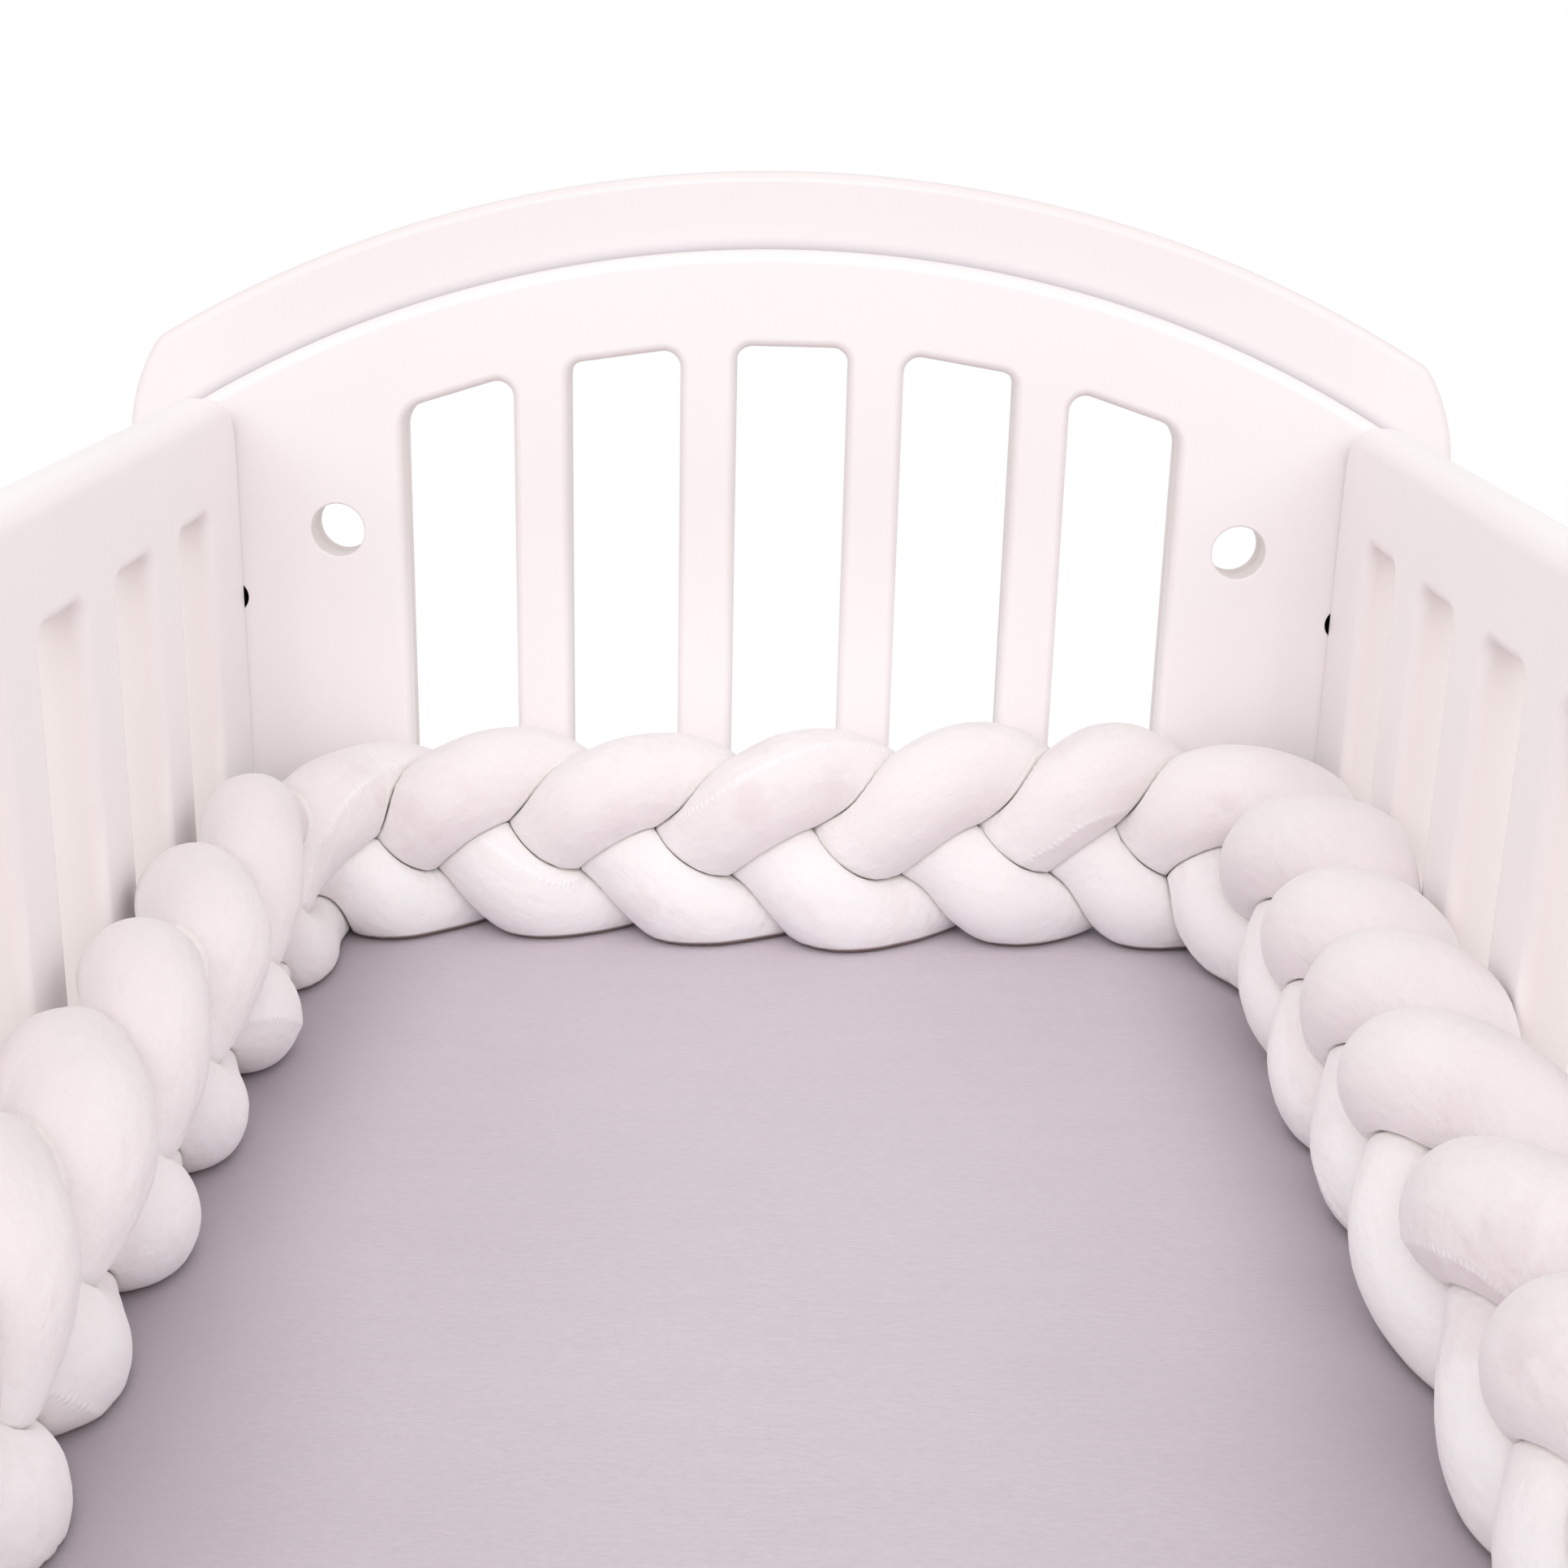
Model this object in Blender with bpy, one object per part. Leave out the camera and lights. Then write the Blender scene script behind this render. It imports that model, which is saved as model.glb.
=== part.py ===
"""A braided crib bumper in the crib that it fits.

Three stuffed tubes are plaited flat, and the plait stands on its edge on the mattress. It bends in
a U along the left side, round the head end and along the right side. The crib is built plainly:
two slotted sides, and two ends that are each an inner panel on a wider back board.

Metres, +Z up. The origin is on the floor under the middle of the crib, +X runs across it and +Y
runs along it towards the head end.
"""

import math

import bpy
import numpy as np

# Clearances
FIT_GAP = 0.0003            # between pieces of the crib that touch
CLOTH_GAP = 0.0048          # kept by each faceted tube from the middle plane to the next tube

# Crib
INSIDE_WIDTH = 0.620        # between the inner faces of the sides
INSIDE_LENGTH = 1.220       # between the inner faces of the ends
MATTRESS_TOP = 0.580        # height of the sleeping surface above the floor
MATTRESS_THICKNESS = 0.100
MATTRESS_PLAY = 0.004       # between the mattress and the crib, on each side
MATTRESS_EDGE = 0.018       # rounding along the top and bottom edges of the mattress
BASE_THICKNESS = 0.016
CLEAT_SIDE = 0.024          # square strip that carries each end of the base

# Sides, heights measured from the mattress top
SIDE_THICKNESS = 0.025
SIDE_TOP = 0.296
SIDE_BOTTOM = -0.180
SIDE_CORNER = 0.030         # rounding of the upper corners of a side
SIDE_SLOTS = 11
SIDE_SLOT_WIDTH = 0.054
SIDE_SLOT_PITCH = 0.104
SIDE_SLOT_TOP = 0.238
SIDE_SLOT_BOTTOM = -0.120
SIDE_SLOT_CORNER = 0.008

# Ends, heights measured from the mattress top
PANEL_THICKNESS = 0.015
PANEL_HALF_WIDTH = 0.338
PANEL_ARCH_TOP = 0.380
PANEL_ARCH_RADIUS = 0.655
BOARD_THICKNESS = 0.0125
BOARD_HALF_WIDTH = 0.375
BOARD_ARCH_TOP = 0.421
BOARD_ARCH_RADIUS = 0.6975
BOARD_CORNER_RADIUS = 0.020     # where the arch turns down
BOARD_SHOULDER_RADIUS = 0.110   # from the corner down to the upright edge
BOARD_SHOULDER_ANGLE = 32.0     # degrees from upright at which the shoulder starts
END_SLOTS = 5
END_SLOT_WIDTH = 0.062
END_SLOT_PITCH = 0.0928
END_SLOT_ARCH_TOP = 0.329
END_SLOT_ARCH_RADIUS = 0.605
END_SLOT_BOTTOM = -0.060
END_SLOT_CORNER = 0.009
END_SLOT_OUTER_CORNER = 0.016   # outer upper corner of the two outermost slots
HAND_HOLE_OFFSET = 0.255        # from the middle of the end
HAND_HOLE_HEIGHT = 0.220
HAND_HOLE_RADIUS = 0.015
BOLT_HOLE_OFFSET = 0.3168
BOLT_HOLE_HEIGHT = 0.180
BOLT_HOLE_RADIUS = 0.009
FOOT_INNER = 0.268              # from the middle of the end to the inner edge of a foot
LEG_ARCH_TOP = 0.230            # height above the floor of the cut between the legs
LEG_ARCH_CORNER = 0.070

# Braid
TUBE_WIDE = 0.0306          # half the tube's thickness along the face of the braid
TUBE_DEEP = 0.0297          # half the tube's thickness across the braid
SWING_UP = 0.0310           # how far a tube's middle swings above and below the braid's middle
SWING_UP_3 = 0.0051         # part of the swing at three times the turn, which blunts the lobes
SWING_DEEP = 0.0104         # how far it swings forwards and back
SWING_DEEP_4 = -0.0025      # part of that swing at four times the turn
TURN_SKEW = -0.132          # how much faster the turn runs where a tube crosses the middle
BRAID_HEIGHT = 0.0561       # middle of the braid above the mattress
WALL_OFFSET = 0.0370        # middle of the braid from the crib's inner faces
CORNER_BEND = 0.068         # radius of the braid's middle line round a corner of the crib
END_CLEARANCE = 0.012       # between the braid's ends and the foot panel
END_TAPER = 0.060           # length over which each tube closes at its end
END_GATHER = 0.55           # how much of the swing is left where the tubes are sewn off
STRANDS = 3
RINGS_PER_LOBE = 6          # rings of a faceted tube from one lobe's top to the next
RING_SIDES = 8
PATH_SAMPLES = 1200         # places along the path at which the plait's turn is read
TANGENT_STEP = 0.002        # on each side of a ring, to read the tube's direction
END_FULLNESS = 0.25         # share of the tube's thickness left at its sewn end
REACH = 0.134               # tubes further from a ring than this don't press on it
SOFTNESS = 12.0             # how sharply a tube turns from round to pressed flat

# Where each tube in turn comes over the top edge, measured along the braid from the middle of the
# head end. The plait is drawn tighter round the two corners and across the head.
LOBE_TOPS = (
    -1.385, -1.283, -1.181, -1.079, -0.968, -0.823, -0.754, -0.656, -0.569, -0.472, -0.367,
    -0.243,
    -0.160, -0.076, 0.014, 0.109, 0.190,
    0.254, 0.389,
    0.474, 0.544, 0.636, 0.758, 0.835, 0.949, 1.037, 1.139, 1.241, 1.343,
)
PHASE_BLEND = 0.040         # length over which one lobe spacing passes into the next

# Finishes: base colour, roughness, metallic
PAINT = ((0.93, 0.90, 0.905, 1.0), 0.38, 0.0)
BRAID_VELVET = ((0.93, 0.91, 0.91, 1.0), 0.85, 0.0)
COVER_VELVET = ((0.62, 0.56, 0.61, 1.0), 0.90, 0.0)
BARE_WOOD = ((0.72, 0.60, 0.45, 1.0), 0.60, 0.0)

HALF_WIDTH = INSIDE_WIDTH / 2
HALF_LENGTH = INSIDE_LENGTH / 2


def clear_scene():
    """Remove every object, so that the file holds only the model."""
    for obj in list(bpy.data.objects):
        bpy.data.objects.remove(obj, do_unlink=True)


def principled(name, finish):
    """A material of one Principled shader with the finish's colour, roughness and metallic value."""
    colour, roughness, metallic = finish
    material = bpy.data.materials.new(name)
    material.use_nodes = True
    shader = material.node_tree.nodes["Principled BSDF"]
    shader.inputs["Base Color"].default_value = colour
    shader.inputs["Roughness"].default_value = roughness
    shader.inputs["Metallic"].default_value = metallic
    material.diffuse_color = colour
    return material


def add_object(name, data, finish):
    """Link an object of its own material to the scene and return it."""
    obj = bpy.data.objects.new(name, data)
    obj.data.materials.append(principled(name + "_finish", finish))
    bpy.context.scene.collection.objects.link(obj)
    return obj


# Outlines: lists of (across, up) points


def arc(centre, radius, start, end, steps):
    """Points on an arc, angles in degrees, both ends included."""
    angles = [math.radians(start + (end - start) * i / steps) for i in range(steps + 1)]
    return [(centre[0] + radius * math.cos(a), centre[1] + radius * math.sin(a)) for a in angles]


def circle(centre, radius, steps):
    """Points round a full circle."""
    return arc(centre, radius, 0.0, 360.0, steps)[:-1]


def rounded(points, radii, steps=2):
    """Round each corner of a convex or concave outline with its own radius."""
    result = []
    count = len(points)
    for i, radius in enumerate(radii):
        corner = np.array(points[i])
        before = np.array(points[i - 1]) - corner
        after = np.array(points[(i + 1) % count]) - corner
        before = before / np.linalg.norm(before)
        after = after / np.linalg.norm(after)
        if radius == 0:
            result.append(tuple(corner))
            continue
        half_angle = math.acos(float(np.clip(before @ after, -1.0, 1.0))) / 2
        reach = radius / math.tan(half_angle)
        middle = corner + (before + after) / np.linalg.norm(before + after) * radius / math.sin(half_angle)
        first = corner + before * reach - middle
        last = corner + after * reach - middle
        turn = math.atan2(first[0] * last[1] - first[1] * last[0], float(first @ last))
        start = math.atan2(first[1], first[0])
        for step in range(steps + 1):
            angle = start + turn * step / steps
            result.append((middle[0] + radius * math.cos(angle), middle[1] + radius * math.sin(angle)))
    return result


def arch_height(across, top, radius):
    """Height of an arch of the given crown and radius at a distance from its middle."""
    return top - radius + math.sqrt(radius * radius - across * across)


def slot(left, right, bottom, left_top, right_top, radii):
    """An upright slot with rounded corners, from the lower left one round, and a top that may slope."""
    corners = [(left, bottom), (right, bottom), (right, right_top), (left, left_top)]
    return rounded(corners, radii)


def leg_cut(half_width):
    """The feet and the rounded cut between them, from the right foot to the left one."""
    inner = FOOT_INNER
    ground = -MATTRESS_TOP
    top = LEG_ARCH_TOP - MATTRESS_TOP
    corners = [(inner, ground), (inner, top), (-inner, top), (-inner, ground)]
    cut = rounded(corners, [0, LEG_ARCH_CORNER, LEG_ARCH_CORNER, 0], steps=4)
    return [(half_width, ground)] + cut + [(-half_width, ground)]


def panel_outline():
    """The inner panel of an end: an arch over upright edges."""
    reach = math.degrees(math.asin(PANEL_HALF_WIDTH / PANEL_ARCH_RADIUS))
    centre = (0.0, PANEL_ARCH_TOP - PANEL_ARCH_RADIUS)
    crown = arc(centre, PANEL_ARCH_RADIUS, 90 + reach, 90 - reach, 14)
    return crown + leg_cut(PANEL_HALF_WIDTH)


def board_outline():
    """The back board of an end: a wider arch, a tight corner and a shoulder on each side."""
    shoulder_x = BOARD_HALF_WIDTH - BOARD_SHOULDER_RADIUS
    turn = BOARD_SHOULDER_ANGLE
    lean = math.radians(turn)
    corner_x = shoulder_x + (BOARD_SHOULDER_RADIUS - BOARD_CORNER_RADIUS) * math.cos(lean)
    reach = math.asin(corner_x / (BOARD_ARCH_RADIUS - BOARD_CORNER_RADIUS))
    arch_z = BOARD_ARCH_TOP - BOARD_ARCH_RADIUS
    corner_z = arch_z + (BOARD_ARCH_RADIUS - BOARD_CORNER_RADIUS) * math.cos(reach)
    shoulder_z = corner_z - (BOARD_SHOULDER_RADIUS - BOARD_CORNER_RADIUS) * math.sin(lean)
    end = math.degrees(reach)
    crown = arc((0.0, arch_z), BOARD_ARCH_RADIUS, 90 + end, 90 - end, 14)
    corner = arc((corner_x, corner_z), BOARD_CORNER_RADIUS, 90 - end, turn, 3)
    shoulder = arc((shoulder_x, shoulder_z), BOARD_SHOULDER_RADIUS, turn, 0.0, 4)
    right = corner[1:] + shoulder[1:]
    left = [(-x, z) for x, z in reversed(right)]
    return crown + right + leg_cut(BOARD_HALF_WIDTH) + left


def end_slots():
    """The five slots that pass through both layers of an end; their tops follow an arch."""
    outlines = []
    for i in range(END_SLOTS):
        middle = (i - (END_SLOTS - 1) / 2) * END_SLOT_PITCH
        left = middle - END_SLOT_WIDTH / 2
        right = middle + END_SLOT_WIDTH / 2
        tops = [arch_height(x, END_SLOT_ARCH_TOP, END_SLOT_ARCH_RADIUS) for x in (left, right)]
        radii = [END_SLOT_CORNER] * 4
        if i == 0:
            radii[3] = END_SLOT_OUTER_CORNER
        if i == END_SLOTS - 1:
            radii[2] = END_SLOT_OUTER_CORNER
        outlines.append(slot(left, right, END_SLOT_BOTTOM, tops[0], tops[1], radii))
    return outlines


def hand_holes():
    """The round hole on each side of the slots."""
    return [circle((side * HAND_HOLE_OFFSET, HAND_HOLE_HEIGHT), HAND_HOLE_RADIUS, 16) for side in (-1, 1)]


def bolt_holes():
    """The small drilled hole beside each side of the crib, in the inner panel only."""
    return [circle((side * BOLT_HOLE_OFFSET, BOLT_HOLE_HEIGHT), BOLT_HOLE_RADIUS, 10) for side in (-1, 1)]


def side_outline():
    """A side of the crib: a long board with rounded upper corners."""
    length = HALF_LENGTH - FIT_GAP
    corners = [(-length, SIDE_BOTTOM), (length, SIDE_BOTTOM), (length, SIDE_TOP), (-length, SIDE_TOP)]
    return rounded(corners, [0, 0, SIDE_CORNER, SIDE_CORNER], steps=5)


def side_slots():
    """The row of slots along a side."""
    outlines = []
    for i in range(SIDE_SLOTS):
        middle = (i - (SIDE_SLOTS - 1) / 2) * SIDE_SLOT_PITCH
        left = middle - SIDE_SLOT_WIDTH / 2
        right = middle + SIDE_SLOT_WIDTH / 2
        outlines.append(slot(left, right, SIDE_SLOT_BOTTOM, SIDE_SLOT_TOP, SIDE_SLOT_TOP, [SIDE_SLOT_CORNER] * 4))
    return outlines


def add_cut_board(name, outlines, thickness, location, turn, finish):
    """A flat board of an outline and the openings in it, stood upright and turned about Z."""
    curve = bpy.data.curves.new(name, "CURVE")
    curve.dimensions = "2D"
    curve.fill_mode = "BOTH"
    curve.extrude = thickness / 2
    for outline in outlines:
        spline = curve.splines.new("POLY")
        spline.points.add(len(outline) - 1)
        for point, (across, up) in zip(spline.points, outline):
            point.co = (across, up, 0.0, 1.0)
        spline.use_cyclic_u = True
    board = add_object(name, curve, finish)
    board.rotation_euler = (math.pi / 2, 0.0, turn)
    board.location = location
    return board


def build_ends():
    """Head and foot: each an inner panel and, 0.3 mm behind it, its back board."""
    for name, side in (("head", 1), ("foot", -1)):
        panel_y = side * (HALF_LENGTH + PANEL_THICKNESS / 2)
        board_y = side * (HALF_LENGTH + PANEL_THICKNESS + FIT_GAP + BOARD_THICKNESS / 2)
        through = end_slots() + hand_holes()
        panel = [panel_outline()] + through + bolt_holes()
        board = [board_outline()] + through
        add_cut_board(name + "_panel", panel, PANEL_THICKNESS, (0.0, panel_y, MATTRESS_TOP), 0.0, PAINT)
        add_cut_board(name + "_board", board, BOARD_THICKNESS, (0.0, board_y, MATTRESS_TOP), 0.0, PAINT)


def build_sides():
    """The two long slotted sides, which stand between the end panels."""
    for name, side in (("left", -1), ("right", 1)):
        outlines = [side_outline()] + side_slots()
        place = (side * (HALF_WIDTH + SIDE_THICKNESS / 2), 0.0, MATTRESS_TOP)
        add_cut_board(name + "_side", outlines, SIDE_THICKNESS, place, math.pi / 2, PAINT)


def add_box(name, size, middle, finish):
    """A box of the given size with its vertices placed about the object's own middle."""
    half = [side / 2 for side in size]
    verts = [(x * half[0], y * half[1], z * half[2]) for z in (-1, 1) for y in (-1, 1) for x in (-1, 1)]
    faces = [(0, 2, 3, 1), (4, 5, 7, 6), (0, 1, 5, 4), (2, 6, 7, 3), (0, 4, 6, 2), (1, 3, 7, 5)]
    mesh = bpy.data.meshes.new(name)
    mesh.from_pydata(verts, [], faces)
    box = add_object(name, mesh, finish)
    box.location = middle
    return box


def build_bed():
    """The mattress, the flat base that it lies on and the two strips that carry the base."""
    width = INSIDE_WIDTH - 2 * MATTRESS_PLAY
    length = INSIDE_LENGTH - 2 * MATTRESS_PLAY
    middle_z = MATTRESS_TOP - MATTRESS_THICKNESS / 2
    mattress = add_box("mattress", (width, length, MATTRESS_THICKNESS), (0.0, 0.0, middle_z), COVER_VELVET)
    edge = mattress.modifiers.new("rounded_edge", "BEVEL")
    edge.width = MATTRESS_EDGE
    edge.segments = 2
    for polygon in mattress.data.polygons:
        polygon.use_smooth = True
    base_top = MATTRESS_TOP - MATTRESS_THICKNESS - FIT_GAP
    base_size = (INSIDE_WIDTH - 2 * FIT_GAP, INSIDE_LENGTH - 2 * FIT_GAP, BASE_THICKNESS)
    add_box("base", base_size, (0.0, 0.0, base_top - BASE_THICKNESS / 2), BARE_WOOD)
    cleat_z = base_top - BASE_THICKNESS - FIT_GAP - CLEAT_SIDE / 2
    for name, side in (("head", 1), ("foot", -1)):
        cleat_y = side * (HALF_LENGTH - FIT_GAP - CLEAT_SIDE / 2)
        size = (INSIDE_WIDTH - 2 * FIT_GAP, CLEAT_SIDE, CLEAT_SIDE)
        add_box(name + "_cleat", size, (0.0, cleat_y, cleat_z), BARE_WOOD)


# The braid's middle line, on the plan of the crib

LINE_X = HALF_WIDTH - WALL_OFFSET
LINE_HEAD = HALF_LENGTH - WALL_OFFSET
LINE_FOOT = -HALF_LENGTH + END_CLEARANCE
SIDE_RUN = LINE_HEAD - CORNER_BEND - LINE_FOOT
CORNER_RUN = CORNER_BEND * math.pi / 2
HEAD_RUN = 2 * (LINE_X - CORNER_BEND)
PATH_LENGTH = 2 * (SIDE_RUN + CORNER_RUN) + HEAD_RUN


def path_place(distance):
    """Plan position and heading at a distance along the U from the left foot end."""
    from_end = min(distance, PATH_LENGTH - distance)
    corner_start = SIDE_RUN
    head_start = SIDE_RUN + CORNER_RUN
    if from_end <= corner_start:
        x, y, heading = -LINE_X, LINE_FOOT + from_end, math.pi / 2
    elif from_end < head_start:
        turned = (from_end - corner_start) / CORNER_BEND
        x = -LINE_X + CORNER_BEND - CORNER_BEND * math.cos(turned)
        y = LINE_HEAD - CORNER_BEND + CORNER_BEND * math.sin(turned)
        heading = math.pi / 2 - turned
    else:
        x = -LINE_X + CORNER_BEND + from_end - head_start
        y, heading = LINE_HEAD, 0.0
    if distance > PATH_LENGTH / 2:
        x, heading = -x, -heading
    return x, y, heading


def phase_at(distances):
    """Turn of the plait at each distance: every lobe is a third of a full turn after the last."""
    tops = np.array(LOBE_TOPS) + PATH_LENGTH / 2
    turns = np.arange(len(tops))
    shifts = np.linspace(-PHASE_BLEND, PHASE_BLEND, 9)
    blended = np.mean([np.interp(distances + shift, tops, turns) for shift in shifts], axis=0)
    return blended * 2 * math.pi / STRANDS


def centre_line(strand, distances):
    """Middle of one tube at each distance along the path."""
    turn = phase_at(distances) - strand * 2 * math.pi / STRANDS
    turn = turn + TURN_SKEW * np.sin(2 * turn)
    to_end = np.minimum(distances, PATH_LENGTH - distances)
    gather = END_GATHER + (1 - END_GATHER) * np.clip(to_end / (2 * END_TAPER), 0.0, 1.0)
    up = (SWING_UP * np.cos(turn) + SWING_UP_3 * np.cos(3 * turn)) * gather
    inward = (SWING_DEEP_4 * np.sin(4 * turn) - SWING_DEEP * np.sin(2 * turn)) * gather
    places = np.array([path_place(d) for d in distances])
    heading = places[:, 2]
    x = places[:, 0] + inward * np.sin(heading)
    y = places[:, 1] - inward * np.cos(heading)
    z = MATTRESS_TOP + BRAID_HEIGHT + up
    return np.stack([x, y, z], axis=1)


def pressed_radius(centre, across, deep, angles, others, taper):
    """Distance from a tube's middle to its skin in each direction of one ring.

    The skin is round where it is free, and it stops half way to a neighbouring tube, at the
    mattress and at the crib, with a soft turn between the two.
    """
    directions = np.outer(np.cos(angles), across) + np.outer(np.sin(angles), deep)
    free = 1.0 / np.sqrt((np.cos(angles) / TUBE_WIDE) ** 2 + (np.sin(angles) / TUBE_DEEP) ** 2)
    limits = [free * taper]
    offsets = others - centre
    squared = np.sum(offsets * offsets, axis=1)
    along = directions @ offsets.T
    half_way = np.where(along > 1e-6, squared / np.maximum(2 * along, 1e-6), np.inf)
    limits.append(np.min(half_way, axis=1) - CLOTH_GAP)
    walls = (
        ((0, 0, -1), centre[2] - MATTRESS_TOP),
        ((-1, 0, 0), centre[0] + HALF_WIDTH),
        ((1, 0, 0), HALF_WIDTH - centre[0]),
        ((0, 1, 0), HALF_LENGTH - centre[1]),
        ((0, -1, 0), centre[1] + HALF_LENGTH),
    )
    for normal, room in walls:
        facing = directions @ np.array(normal, dtype=float)
        limits.append(np.where(facing > 1e-6, (room - FIT_GAP * 2) / np.maximum(facing, 1e-6), np.inf))
    closeness = sum(np.power(np.maximum(limit, 1e-4), -SOFTNESS) for limit in limits)
    return np.power(closeness, -1 / SOFTNESS), directions


def ring_distances():
    """Distances of the rings along the path, as many in each lobe of the plait."""
    dense = np.linspace(0.0, PATH_LENGTH, PATH_SAMPLES)
    lobes = phase_at(dense) * STRANDS / (2 * math.pi)
    count = int(round((lobes[-1] - lobes[0]) * RINGS_PER_LOBE))
    return np.interp(np.linspace(lobes[0], lobes[-1], count), lobes, dense)


def tube_rings(strand):
    """Rings of points round one tube, from its left end to its right end."""
    distances = ring_distances()
    dense = np.linspace(0.0, PATH_LENGTH, len(distances) * 4)
    others = np.concatenate([centre_line(k, dense) for k in range(STRANDS) if k != strand])
    centres = centre_line(strand, distances)
    ahead = centre_line(strand, distances + TANGENT_STEP)
    behind = centre_line(strand, distances - TANGENT_STEP)
    angles = np.arange(RING_SIDES) * 2 * math.pi / RING_SIDES
    rings = []
    for i, centre in enumerate(centres):
        tangent = (ahead[i] - behind[i]) / np.linalg.norm(ahead[i] - behind[i])
        heading = path_place(distances[i])[2]
        inward = np.array([math.sin(heading), -math.cos(heading), 0.0])
        deep = inward - tangent * (inward @ tangent)
        deep = deep / np.linalg.norm(deep)
        across = np.cross(deep, tangent)
        to_end = min(distances[i], PATH_LENGTH - distances[i])
        closing = min(1.0, to_end / END_TAPER)
        taper = max(END_FULLNESS, math.sqrt(closing * (2 - closing)))
        near = others[np.sum((others - centre) ** 2, axis=1) < REACH ** 2]
        radius, directions = pressed_radius(centre, across, deep, angles, near, taper)
        rings.append(centre + directions * radius[:, None])
    return rings


def add_tube(name, rings, finish):
    """A closed tube skinned over its rings, with a flat face at each end."""
    sides = len(rings[0])
    verts = [tuple(point) for ring in rings for point in ring]
    faces = []
    for i in range(len(rings) - 1):
        for j in range(sides):
            k = (j + 1) % sides
            faces.append((i * sides + j, i * sides + k, (i + 1) * sides + k, (i + 1) * sides + j))
    last = (len(rings) - 1) * sides
    faces.append(tuple(reversed(range(sides))))
    faces.append(tuple(last + j for j in range(sides)))
    mesh = bpy.data.meshes.new(name)
    mesh.from_pydata(verts, [], faces)
    mesh.shade_smooth()
    return add_object(name, mesh, finish)


def build_braid():
    """The three stuffed tubes of the bumper."""
    for strand in range(STRANDS):
        add_tube("strand_{}".format(strand + 1), tube_rings(strand), BRAID_VELVET)


def main():
    """Build the crib, the bed in it and the braid that stands on the bed."""
    clear_scene()
    build_ends()
    build_sides()
    build_bed()
    build_braid()


main()
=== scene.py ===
"""Looks of a braided crib bumper and of the crib that it stands in.

Three velvet tubes are plaited flat, and the plait stands on its edge on a velvet mattress, along
the left side of the crib, round the head end and along the right side. The crib is painted white.

Everything is in metres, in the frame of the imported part: the floor is at Z 0, X runs across the
crib and Y runs along it towards the head end.
"""

import logging
import math
from dataclasses import dataclass
from enum import Enum
from typing import Any, Iterable, Sequence

import bpy
import numpy as np
from mathutils import Matrix, Vector


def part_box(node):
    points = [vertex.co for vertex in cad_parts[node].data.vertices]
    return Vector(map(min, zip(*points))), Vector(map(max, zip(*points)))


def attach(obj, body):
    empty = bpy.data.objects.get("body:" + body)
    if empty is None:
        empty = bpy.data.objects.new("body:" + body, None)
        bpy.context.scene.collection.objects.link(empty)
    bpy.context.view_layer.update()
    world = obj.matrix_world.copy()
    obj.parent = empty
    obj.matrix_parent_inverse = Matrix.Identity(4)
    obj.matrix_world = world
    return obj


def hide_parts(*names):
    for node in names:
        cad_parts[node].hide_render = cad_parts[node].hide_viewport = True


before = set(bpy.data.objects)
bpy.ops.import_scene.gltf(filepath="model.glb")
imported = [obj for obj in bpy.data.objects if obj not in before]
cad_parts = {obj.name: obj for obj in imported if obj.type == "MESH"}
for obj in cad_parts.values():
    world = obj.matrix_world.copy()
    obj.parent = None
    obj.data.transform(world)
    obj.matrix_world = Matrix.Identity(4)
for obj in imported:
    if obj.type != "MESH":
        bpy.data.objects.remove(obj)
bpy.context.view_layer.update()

LOG = logging.getLogger("crib_bumper")
BODY = "root"
UP = (0.0, 0.0, 1.0)
TURN = 2 * math.pi

Colour = tuple[float, float, float]
Point = tuple[float, float]
Pair = tuple[float, float]
Triple = tuple[float, float, float]
Settings = dict[str, Any]
Inputs = dict[str | int, Any]


class Slot(Enum):
    """The record's material slots."""

    PAINT = "white_paint"
    BRAID = "braid_velvet"
    COVER = "mattress_cover"
    WOOD = "bare_wood"


class End(Enum):
    """The two ends of the crib, by the sign of Y."""

    HEAD = 1
    FOOT = -1


class Flank(Enum):
    """The two long sides of the crib, by the sign of X."""

    LEFT = -1
    RIGHT = 1


# Node trees


class Signal:
    """A socket that gives something to other nodes."""

    def __init__(self, sheet: "NodeSheet", socket: bpy.types.NodeSocket) -> None:
        """Keep the socket and the sheet that it is on.

        Args:
            sheet: The sheet that adds nodes to the same tree.
            socket: The output socket.
        """
        self.sheet = sheet
        self.socket = socket


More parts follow.
